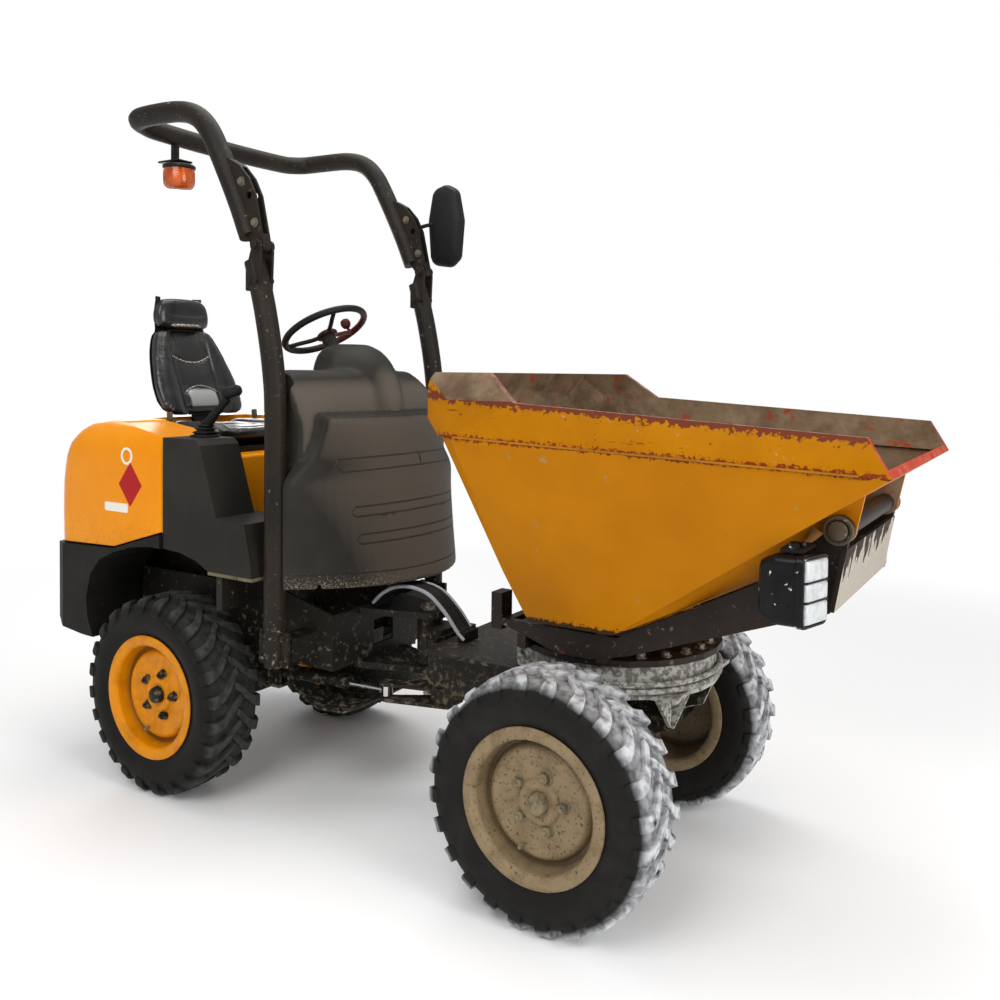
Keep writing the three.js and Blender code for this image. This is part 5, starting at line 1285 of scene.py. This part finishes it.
def headrest():
    """A short firm pad, crowned along its top."""
    rows = []
    for i in range(14):
        z = HEAD_FOOT + (HEAD_TOP - HEAD_FOOT) * i / 13
        front, back, half = between(HEAD_LEVELS, z)
        rows.append(cushion_ring(front, back, half, z, 0.55))

    def seam(p):
        """One line round the pad between its front and back halves, and one across the front."""
        lines = [abs(p.x + 550)]
        if p.x > -539:
            lines.append(abs(p.z - (1876 + 6 * (p.y / 100) ** 2)) if abs(p.y) < 108 else 99.0)
        return min(lines)

    def sculpt(p):
        """Raises the middle of the top."""
        crown = 8 * (1 - (p.y / 142) ** 2) * ease_in(1900, HEAD_TOP, p.z)
        return (p.x, p.y, p.z + crown)

    return plump("seat_headrest_pad", skin(bmesh.new(), rows), seam, sculpt, 9)


seat_pads = [cushion(), backrest(), headrest()]
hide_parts("seat_cushion")
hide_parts("seat_backrest")

piping_grey = moulded_plastic("grey_piping_cord", "A8A6A2", "BEBCB6", "5E584C", 700)


def piping():
    """Grey cord sewn into the curved seams, and the pale strap between the back and headrest."""
    tree = BVHTree.FromObject(seat_pads[1], bpy.context.evaluated_depsgraph_get())
    shape = bmesh.new()
    for line in (SMILE, ARCH):
        run = []
        for y, z in line:
            hit = tree.ray_cast(place(0, y, z), Vector((-1, 0, 0)))[0]
            run.append(((hit.x - REAR_AXLE_X) * 1000 + 2.4, y, z))
        pipe(shape, run, 4.4, 8, 12)
    run = [(-562 + 61 * math.cos(y / 156 * math.pi / 2), y, 1843) for y in range(-132, 133, 12)]
    pipe(shape, run, 6.5, 10, 12)
    return shape


bpy.context.view_layer.update()
piece("seat_piping", "engine_cover", piping_grey, piping(), 60)


def seat_shell():
    """The moulded shell behind the back: a thin curved sheet with two ears beside the headrest."""
    rows = []
    for i in range(30):
        z = 1446 + (1972 - 1446) * i / 29
        if z < 1812:
            _, back, half = between(BACK_LEVELS, z)
        else:
            back, half = -578 - 7 * ease_in(1812, 1900, z), 140 - 8 * ease_in(1900, 1960, z)
        ring = []
        for k in range(17):
            part = -1 + k / 8
            lift = 26 * abs(part) ** 3
            ring.append((back - 5 + lift, part * (half - 3), z))
        ring += [(x - 5, y, z) for x, y, _ in ring[::-1]]
        rows.append([place(*spot) for spot in ring])
    shell = skin(bmesh.new(), rows)
    scoop = slab(bmesh.new(), rounded([(-84, 1934, 20), (84, 1934, 20), (100, 2010, 2),
                                       (-100, 2010, 2)], 5), -700, -300, "x")
    shell = carve(shell, scoop)
    for y in (-70, 0, 70):
        pipe(shell, [(-450, y, 1480), (-506, y, 1600), (-566, y, 1740)], 5, 8, 40)
    return shell


piece("seat_shell_moulding", "engine_cover", black_abs, seat_shell(), 40, 1.2)
dress("seat_pan", black_enamel, bevel=4)
runners = bmesh.new()
for y in (-150, 150):
    block(runners, (-392, -58), (y - 20, y + 20), (1314, 1321))
block(runners, (-428, -392), (-60, 60), (1318, 1330))
slab(runners, [(-428, 1318), (-398, 1318), (-398, 1428), (-404, 1446), (-428, 1436)], -44, 44)
for y in (-236, 229):
    slab(runners, rounded([(-372, 1322, 6), (-330, 1322, 6), (-322, 1382, 8), (-352, 1396, 8),
                           (-380, 1384, 8)], 4), y, y + 7)
piece("seat_runners_and_side_plates", "engine_cover", black_enamel, runners, 34, 1.5)
buckle = bmesh.new()
for y in (-243, 243):
    slab(buckle, rounded([(-340, 1416, 5), (-312, 1420, 5), (-318, 1458, 5), (-342, 1454, 5)], 4),
         y - 6, y + 6)
    pipe(buckle, [(-330, y, 1372), (-328, y, 1420)], 5, 10, 20)
piece("seat_belt_buckles", "engine_cover", zinc, buckle, 34, 1.5)

# ------------------------------------------------------------------------------------------------
# Skip: 6 mm steel plate folded and welded, with a thick rolled band round its mouth. Stone has
# scraped the band to bare rust along its edge, and the inside has lost its paint under cement.
# ------------------------------------------------------------------------------------------------


def above(tree, where, start, end):
    """How far a point is above a sloping line on the skip's side, in metres. (x, z) ends."""
    slope = (end[1] - start[1]) / (end[0] - start[0])
    split = add(tree, "SeparateXYZ", {}, {0: where})
    base = start[1] / 1000 - slope * place(start[0], 0, 0).x
    fall = add(tree, "Math", {"operation": "MULTIPLY_ADD", 1: -slope, 2: -base}, {0: (split, "X")})
    return add(tree, "Math", {"operation": "ADD"}, {0: fall, 1: (split, "Z")})


def ragged(tree, where, distance, reach, size, wander):
    """A mask that is full at a line and breaks up into flakes within reach millimetres of it."""
    gap = add(tree, "Math", {"operation": "ABSOLUTE"}, {0: distance})
    grain = add(tree, "TexNoise", {"Scale": 1000 / size, "Detail": 8.0, "Roughness": 0.65},
                {"Vector": where})
    edge = add(tree, "MapRange", {"From Min": 0.30, "From Max": 0.70, "To Min": -wander / 1000,
                                  "To Max": wander / 1000}, {0: grain})
    moved = add(tree, "Math", {"operation": "ADD"}, {0: gap, 1: edge})
    return add(tree, "MapRange", {"From Min": reach / 1000, "From Max": reach / 1000 - 0.003},
               {0: moved})


def long_scratches(tree, where, size, low):
    """Thin scrapes that run fore and aft: noise stretched tenfold along the side."""
    drawn = add(tree, "Mapping", {"Scale": (0.09, 1.0, 1.0), "Rotation": (0, 0.05, 0)},
                {"Vector": where})
    grain = add(tree, "TexNoise", {"Scale": 1000 / size, "Detail": 6.0, "Roughness": 0.7},
                {"Vector": drawn})
    return add(tree, "MapRange", {"From Min": low, "From Max": low + 0.03}, {0: grain})


BAND_FOOT = ((1200, 1450), (2658, 1402))  # (x, z) at the ends of the fold under the band
BAND_TOP = ((1590, 1556), (2589, 1500))  # the sloping part of the mouth
LEVEL_TOP = ((1228, 1645), (1590, 1645))  # the top of the spill guard
GUARD_END = 1475  # where the guard's top turns down
SKIP_FLOOR = 866
SKIP_HALF = 560


def skip_side():
    """Sprayed yellow enamel that has chalked a little: brown at its chips, grey where a mixer's
    cement has splashed it, and darker along its lowest fold."""
    made, tree, where = material("yellow_enamel_skip_side")
    colour, _ = patches(tree, where, linear("B67200"), linear("AA6800"), 330, 0.36, 0.72, 3.0)
    colour, _ = patches(tree, where, colour, linear("9A8458"), 52, 0.66, 0.76, 9.0)
    colour, chips = patches(tree, where, colour, linear("5A2410"), 30, 0.72, 0.735, 9.0)
    scrapes = long_scratches(tree, where, 16, 0.71)
    colour = (add(tree, "Mix", {"data_type": "RGBA", 7: linear("6E3512")},
                  {0: scrapes, 6: colour}), 2)
    joint = ragged(tree, where, above(tree, where, *BAND_FOOT), 7, 12, 9)
    colour = (add(tree, "Mix", {"data_type": "RGBA", 7: linear("6A2C12")},
                  {0: joint, 6: colour}), 2)
    # Darker brown in a ragged strip within 15 mm of the lowest fold.
    split = add(tree, "SeparateXYZ", {}, {0: where})
    low = add(tree, "Math", {"operation": "SUBTRACT", 1: SKIP_FLOOR / 1000}, {0: (split, "Z")})
    fold = ragged(tree, where, low, 15, 14, 12)
    colour = (add(tree, "Mix", {"data_type": "RGBA", 7: linear("3C2A18")}, {0: fold, 6: colour}), 2)
    bump = add(tree, "Math", {"operation": "MAXIMUM"}, {0: chips, 1: scrapes})
    surface(tree, colour, 0.46, bump, -0.5, Specular_IOR_Level=0.08)
    return made


def skip_band():
    """The same enamel on the rolled band, scraped by stones in long red-brown gouges, with rust
    eating down from the top edge and flakes gone along its foot."""
    made, tree, where = material("scraped_enamel_skip_band")
    colour, _ = patches(tree, where, linear("B07000"), linear("A26400"), 240, 0.36, 0.70, 3.0)
    colour, _ = patches(tree, where, colour, linear("A99470"), 34, 0.66, 0.74, 9.0)
    colour, chips = patches(tree, where, colour, linear("6E2410"), 26, 0.665, 0.69, 9.0)
    scrapes = long_scratches(tree, where, 13, 0.635)
    colour = (add(tree, "Mix", {"data_type": "RGBA", 7: linear("7C2A14")},
                  {0: scrapes, 6: colour}), 2)
    top = add(tree, "Math", {"operation": "MINIMUM"},
              {0: add(tree, "Math", {"operation": "ABSOLUTE"},
                      {0: above(tree, where, *BAND_TOP)}),
               1: add(tree, "Math", {"operation": "ABSOLUTE"},
                      {0: above(tree, where, *LEVEL_TOP)})})
    worn = ragged(tree, where, top, 17, 20, 20)
    colour = (add(tree, "Mix", {"data_type": "RGBA", 7: linear("6B3524")}, {0: worn, 6: colour}), 2)
    foot = ragged(tree, where, above(tree, where, *BAND_FOOT), 9, 14, 16)
    colour = (add(tree, "Mix", {"data_type": "RGBA", 7: linear("7A2E16")}, {0: foot, 6: colour}), 2)
    bump = add(tree, "Math", {"operation": "MAXIMUM"}, {0: chips, 1: scrapes})
    bump = add(tree, "Math", {"operation": "MAXIMUM"}, {0: bump, 1: worn})
    rough = add(tree, "MapRange", {"To Min": 0.42, "To Max": 0.85}, {0: bump})
    surface(tree, colour, rough, bump, -0.8, Specular_IOR_Level=0.08)
    return made


def skip_inside():
    """Bare plate rusted brown under a skin of dried cement, with red primer left in streaks."""
    made, tree, where = material("rusty_cement_skip_inside")
    colour, _ = patches(tree, where, linear("746049"), linear("544232"), 160, 0.40, 0.66)
    colour, crust = patches(tree, where, colour, linear("84705A"), 90, 0.46, 0.70, 9.0)
    colour, _ = patches(tree, where, colour, linear("8C3A24"), 70, 0.58, 0.66, 9.0)
    fine = add(tree, "TexNoise", {"Scale": 1000 / 8, "Detail": 8.0}, {"Vector": where})
    lumps = add(tree, "Math", {"operation": "MULTIPLY_ADD", 1: 0.5}, {0: fine, 2: crust})
    surface(tree, colour, 0.9, lumps, 1.6)
    return made


def skip_edge():
    """The top of the band, where every load slides: pinkish rust, rubbed bright here and there,
    with the last of the yellow in its dents."""
    made, tree, where = material("worn_rust_skip_edge")
    colour, _ = patches(tree, where, linear("7A5244"), linear("9B7C6C"), 60, 0.42, 0.66, 8.0)
    colour, _ = patches(tree, where, colour, linear("5B2A1C"), 34, 0.52, 0.62, 9.0)
    colour, _ = patches(tree, where, colour, linear("C08420"), 46, 0.64, 0.68, 9.0)
    fine = add(tree, "TexNoise", {"Scale": 1000 / 7, "Detail": 8.0}, {"Vector": where})
    surface(tree, colour, 0.82, fine, 0.8)
    return made


def skip_lip():
    """The pouring lip, scraped to red primer by each load, with cement left along its edge."""
    made, tree, where = material("red_primer_skip_lip")
    colour, _ = patches(tree, where, linear("9E3222"), linear("B04A2C"), 70, 0.40, 0.66, 8.0)
    colour, _ = patches(tree, where, colour, linear("8A7A6C"), 40, 0.58, 0.66, 9.0)
    colour, chips = patches(tree, where, colour, linear("4A261A"), 34, 0.62, 0.67, 9.0)
    surface(tree, colour, 0.75, chips, 0.8)
    return made


def skip_body():
    """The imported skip, with the ram ears under its floor planed off flush inside."""
    shape = bmesh.new()
    shape.from_mesh(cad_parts["skip"].data)
    above_floor = [(1850, 871.3), (1890, 879.3), (1996, 934.9), (1996, 990), (1850, 990)]
    return carve(shape, slab(bmesh.new(), above_floor, -44, 44))


skip_mesh = piece("skip_body", "skip", skip_side(), skip_body(), 24, 3,
                  ["skip"]).data
for finish in (skip_band(), skip_inside(), skip_edge(), skip_lip()):
    skip_mesh.materials.append(finish)
SIDE, BAND, INSIDE, EDGE, LIP = range(5)
LIP_FROM = 2560  # the pouring lip is ahead of here
REAR_TO = 1300  # the sloping rear wall is behind here
MIDDLE_X = 1900  # walls face in towards here
BAND_THICK = 40


def height_on(line, x):
    """The height of a line between two (x, z) ends at a distance along it."""
    (x0, z0), (x1, z1) = line
    return z0 + (x - x0) * (z1 - z0) / (x1 - x0)


def top_edge(x):
    """The height of the skip's mouth at a distance along it."""
    if x < GUARD_END:
        return LEVEL_TOP[0][1]
    if x < BAND_TOP[0][0]:
        return height_on(((GUARD_END, LEVEL_TOP[0][1]), BAND_TOP[0]), x)
    return height_on(BAND_TOP, x)


for face in skip_mesh.polygons:
    x, y, z = unplace(face.center)
    n = face.normal
    foot = height_on(BAND_FOOT, x)
    if x > LIP_FROM and (n.x > 0.2 or n.z > 0.3) and z > foot - 4:
        face.material_index = LIP
    elif x < REAR_TO and n.x < -0.4:
        face.material_index = BAND if z > foot - 2 else SIDE
    elif n.z > 0.6 and abs(z - top_edge(x)) < BAND_THICK:
        face.material_index = EDGE
    elif n.z > 0.25 or n.y * y < -1e-6 or (abs(n.y) < 0.1 and abs(n.x) > 0.5
                                           and (n.x > 0) == (x < MIDDLE_X)):
        face.material_index = INSIDE
    elif z > foot - 2 and n.z > -0.5:
        face.material_index = BAND
    else:
        face.material_index = SIDE

weld_steel = coated_steel("painted_weld_bead", "A9700C", "8A5A14", "5A3A1C", "5A2410", 1300, 0.5)
beads = bmesh.new()
for side in (-1, 1):
    pipe(beads, [(x, side * (SKIP_HALF - 0.6), height_on(BAND_FOOT, x))
                 for x in range(1372, 2600, 40)], 3.4, 6, 40)
piece("skip_weld_beads", "skip", weld_steel, beads, 60)

# ------------------------------------------------------------------------------------------------
# Skip carrier: black-painted cut plate that slews on a ball ring. Its front plate has caught years
# of wet concrete, which ran down and dried pale; slurry hangs in drips from the hinge above.
# ------------------------------------------------------------------------------------------------


def splashed_plate():
    """Paint under a crust of dried concrete: pale and sandy low down, with the dark paint left
    at the top between long ragged drips."""
    made, tree, where = material("concrete_crusted_plate")
    colour, _ = patches(tree, where, linear("2C2320"), linear("40342D"), 90, 0.4, 0.7)
    drawn = add(tree, "Mapping", {"Scale": (1.0, 1.0, 0.18)}, {"Vector": where})
    drips = add(tree, "TexNoise", {"Scale": 1000 / 52, "Detail": 5.0}, {"Vector": drawn})
    split = add(tree, "SeparateXYZ", {}, {0: where})
    line = add(tree, "MapRange", {"From Min": 0.34, "From Max": 0.66, "To Min": 1.090,
                                  "To Max": 1.215}, {0: drips})
    below = add(tree, "Math", {"operation": "SUBTRACT"}, {0: line, 1: (split, "Z")})
    crust = add(tree, "MapRange", {"From Max": 0.006}, {0: below})
    colour = (add(tree, "Mix", {"data_type": "RGBA", 7: linear("A39C90")},
                  {0: crust, 6: colour}), 2)
    rim_gap = add(tree, "Math", {"operation": "ABSOLUTE"}, {0: below})
    rim_mask = add(tree, "MapRange", {"From Min": 0.007, "From Max": 0.003}, {0: rim_gap})
    colour = (add(tree, "Mix", {"data_type": "RGBA", 7: linear("BDB6AA")},
                  {0: rim_mask, 6: colour}), 2)
    sand = add(tree, "TexNoise", {"Scale": 1000 / 14, "Detail": 9.0, "Roughness": 0.7},
               {"Vector": where})
    stain = add(tree, "MapRange", {"From Min": 0.52, "From Max": 0.74, "To Max": 0.5}, {0: sand})
    colour = (add(tree, "Mix", {"data_type": "RGBA", 7: linear("8C8376")},
                  {0: stain, 6: colour}), 2)
    lumps = add(tree, "Math", {"operation": "MULTIPLY_ADD", 1: 0.6}, {0: sand, 2: crust})
    surface(tree, colour, 0.88, lumps, 1.8)
    return made


carrier_black = coated_steel("carrier_enamel", "1E1815", "2B221D", "6E6357", "4A2A1C", 950, 0.52)
dress("skip_carrier", carrier_black, 30, 2)
carrier_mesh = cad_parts["skip_carrier"].data
carrier_mesh.materials.append(splashed_plate())
PLATE_X, PLATE_HALF, PLATE_TOP = 2466, 372, 1200
for face in carrier_mesh.polygons:
    x, y, z = unplace(face.center)
    if x > PLATE_X and face.normal.x > 0.5 and z < PLATE_TOP and abs(y) < PLATE_HALF:
        face.material_index = 1

HINGE_X, HINGE_Z = 2487, 1238
RING_X = 1690  # the middle of the ball ring
RING_BOLTS = 24
RING_BOLT_CIRCLE = 312
RING_BOLT_Z = 763.4
BEAMS_X = (1515, 1795)  # cross beams that stand where a bolt would
slurry = coated_steel("slurried_steel", "4E4438", "6F6455", "A39A8C", "5A3A22", 1400, 0.42)
dress("hinge_pin", carrier_black, 30, 2)
caps = bmesh.new()
for side in (-1, 1):
    collar = [(29, 0), (38, 0), (40, 2), (40, 6), (38, 8), (33, 8), (31, 5), (29, 5)]
    turned(caps, collar, place(HINGE_X, side * 365.3, HINGE_Z), (0, side, 0), 40, closed=True)
    turned(caps, [(0, 0), (26, 0), (26, 4), (22, 6), (0, 6)],
           place(HINGE_X, side * 374, HINGE_Z), (0, side, 0), 32)
piece("hinge_pin_collars", "turntable", slurry, caps, 34, 0)

plate_bolts = bmesh.new()
for i in range(RING_BOLTS):
    angle = 2 * math.pi * (i + 0.5) / RING_BOLTS
    x, y = RING_X + RING_BOLT_CIRCLE * math.cos(angle), RING_BOLT_CIRCLE * math.sin(angle)
    if all(abs(x - beam) >= 40 for beam in BEAMS_X):
        bolt(plate_bolts, x, y, RING_BOLT_Z, (0, 0, 1), 24, 15)
piece("carrier_plate_bolts", "turntable", slurry, plate_bolts, 30, 0.8)

# ------------------------------------------------------------------------------------------------
# Work lights: a die-cast black body with a bezel, hung from a strap by two bolts. The moulded clear
# lens has three prismed panes with dark bars between them. Cement has dried on the body's side.
# ------------------------------------------------------------------------------------------------


def lamp_black():
    """Satin black powder coat over die casting: pale scuffs on its edges, splashed with cement."""
    made, tree, where = material("lamp_powder_coat")
    colour, _ = patches(tree, where, linear("08080A"), linear("121316"), 60, 0.42, 0.72)
    colour, splash = patches(tree, where, colour, linear("CFC8BA"), 22, 0.655, 0.67, 9.0)
    rough = add(tree, "MapRange", {"To Min": 0.32, "To Max": 0.9}, {0: splash})
    surface(tree, colour, rough, splash, 1.2)
    return made


def prismed_lens():
    """Injection-moulded polycarbonate: water-clear over a bright reflector, so that it reads as
    silver, with upright prisms 9 mm apart and a film of road dirt."""
    made, tree, where = material("clear_prismed_lens")
    colour, _ = patches(tree, where, linear("BEC1C3"), linear("94948E"), 24, 0.46, 0.78, 6.0)
    prisms = add(tree, "TexWave", {"bands_direction": "Y", "Scale": 1000 / 9 / 6.283 * 2,
                                   "Distortion": 0.6}, {"Vector": where})
    surface(tree, colour, 0.2, prisms, 1.0, Coat_Weight=0.6)
    return made


lamp_coat, lens_clear = lamp_black(), prismed_lens()
LAMP_OUTER_Y = 545
LAMP_OUTER_X = 2440  # the outer edge of the face; the inner edge stands 36 ahead over 125 across


def face_x(y):
    """The lens face is turned outwards: how far ahead it is at a distance from the middle."""
    return LAMP_OUTER_X + (LAMP_OUTER_Y - y) * 36 / 125


def lamp_ring(inset, round_by, ahead, set_back=None):
    """A rounded outline round the body, square across it or set back from the turned face."""
    corners = [(421.5 + inset, 1001 + inset, round_by), (543.5 - inset, 1001 + inset, round_by),
               (543.5 - inset, 1189 - inset, round_by), (421.5 + inset, 1189 - inset, round_by)]
    ring = []
    for y, z in rounded(corners, 5):
        ring.append((ahead if set_back is None else face_x(y) - set_back, y, z))
    return ring


for side, word in ((-1, "right"), (1, "left")):
    stack = [(34, 12, 2319), (22, 14, 2326), (12, 16, 2350), (4, 18, 2362), (3, 18, 2372),
             (3, 18, 0, 26), (3, 18, 0, 22), (0, 18, 0, 19), (0, 18, 0, 2), (2, 18, 0, -1),
             (7, 15, 0, -1), (9, 14, 0, 4), (11, 13, 0, 6)]
    rows = [[place(x, side * y, z) for x, y, z in lamp_ring(*row)] for row in stack]
    shape = skin(bmesh.new(), rows)
    for z in (1060, 1095, 1130):
        block(shape, (2374, 2408), sorted((side * 539, side * 542.6)), (z - 4, z + 4))
    for x, y in ((2392, 450), (2404, 474), (2414, 440)):
        bolt(shape, x, side * y, 1199.2, (0, 0, 1), 16, 12)
    for y in (462, 494):
        block(shape, (2386, 2418), sorted((side * y - 3, side * y + 3)), (1199.1, 1213))
    piece(f"work_light_{word}_body", "turntable", lamp_coat, shape, 34, 1.2,
          [f"work_light_{word}"])
    panes, bars = bmesh.new(), bmesh.new()
    for low, high in ((1013, 1067), (1072, 1118), (1123, 1177)):
        rows = []
        for y in (533, 524, 483, 441, 432):
            bulge = 4 if y in (533, 432) else 9
            rows.append([place(face_x(y) + out, side * y, z) for out, z in (
                (-8, low), (bulge - 4, low), (bulge, low + 5), (bulge, high - 5),
                (bulge - 4, high), (-8, high))])
        skin(panes, rows)
    for z in (1069.5, 1120.5):
        skin(bars, [[place(face_x(y) + out, side * y, z + up) for out, up in (
            (-8, -2.2), (6, -2.2), (6, 2.2), (-8, 2.2))] for y in (535, 430)])
    piece(f"work_light_{word}_lens", "turntable", lens_clear, panes, 34, 1.5)
    piece(f"work_light_{word}_bars", "turntable", lamp_coat, bars, 34, 0.6)

# ------------------------------------------------------------------------------------------------
# Hydraulics: chromed rods in painted tubes, on greased pins, and rubber hoses in a wire braid that
# cross the centre joint in a low arch. Crimped steel ends hold them; two run in silver sleeves.
# ------------------------------------------------------------------------------------------------


def chromed_rod():
    """Hard chrome, ground and polished: a mirror that shows as grey, with fine drawn marks."""
    made, tree, where = material("hard_chrome_rod")
    colour, film = patches(tree, where, linear("B9BBBC"), linear("8A8478"), 30, 0.55, 0.80)
    rough = add(tree, "MapRange", {"To Min": 0.16, "To Max": 0.5}, {0: film})
    surface(tree, colour, rough, film, 0.05, Metallic=1.0)
    return made


chrome = chromed_rod()
for name in ("steer_cylinder_rod", "tip_cylinder_rod"):
    dress(name, chrome)
for name in ("steer_cylinder_barrel", "tip_cylinder_barrel"):
    dress(name, black_enamel, bevel=2)
dress("pivot_pin", slurry, bevel=2)

hose_rubber = tyre_rubber("hose_rubber", 0, "161514", "2B2927", "2B2927", 0.0)
silver_sleeve = coated_steel("silver_heat_sleeve", "8F9094", "B4B6B8", "6E675C", "5A5048", 700, 0.5)
HOSE_RUN = [(690, -60, 742), (740, -64, 785), (810, -70, 818), (890, -72, 826), (970, -70, 805),
            (1040, -64, 745), (1085, -60, 690), (1120, -60, 662)]


def crossing(name, finish, radius, shift, lift=0.0, instead_of=()):
    """One hose over the centre joint. Its run lies along the rear frame before the joint and the
    front frame after it, and arches between; the hose is fixed to no body."""
    run = [(x, y + shift, z + lift * math.sin(math.pi * i / (len(HOSE_RUN) - 1)))
           for i, (x, y, z) in enumerate(HOSE_RUN)]
    shape = pipe(bmesh.new(), run, radius, 12, 12)
    made = piece(name, None, finish, shape, 60, 0, instead_of)
    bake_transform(made)


crossing("pivot_hose_middle", hose_rubber, 11, 0, 0, ["pivot_hoses"])
crossing("pivot_hose_right", hose_rubber, 11, -26)
crossing("pivot_hose_left", hose_rubber, 11, 26)
crossing("pivot_hose_silver_right", silver_sleeve, 7, -44, 4)
crossing("pivot_hose_silver_left", silver_sleeve, 7, 44, 4)

ends = bmesh.new()
for shift in (-26, 0, 26):
    pipe(ends, [(690, -60 + shift, 742), (701, -61 + shift, 752)], 14, 12, 40)
piece("hose_crimps_rear", "rear_module", zinc, ends, 34, 0.8)
clamps = bmesh.new()
block(clamps, (690, 712), (-104, -16), (725.3, 768))
piece("hose_clamp_rear", "rear_module", hose_rubber, clamps, 34, 2)
clamps = bmesh.new()
block(clamps, (1090, 1124), (-104, -16), (652.4, 690))
for y in (-94, -60, -26):
    bolt(clamps, 1107, y, 690, (0, 0, 1), 14, 9)
piece("hose_clamp_front", "front_module", hose_rubber, clamps, 34, 2)

WRAP_RADIUS = 341.5
wrap = bmesh.new()
for z in (664, 686):
    turns = [math.radians(degrees) for degrees in range(-168, 31, 9)]
    pipe(wrap, [(RING_X + WRAP_RADIUS * math.cos(turn), WRAP_RADIUS * math.sin(turn), z)
                for turn in turns], 9.5, 12, 30)
piece("slew_ring_hoses", "front_module", cement_mud, wrap, 60)
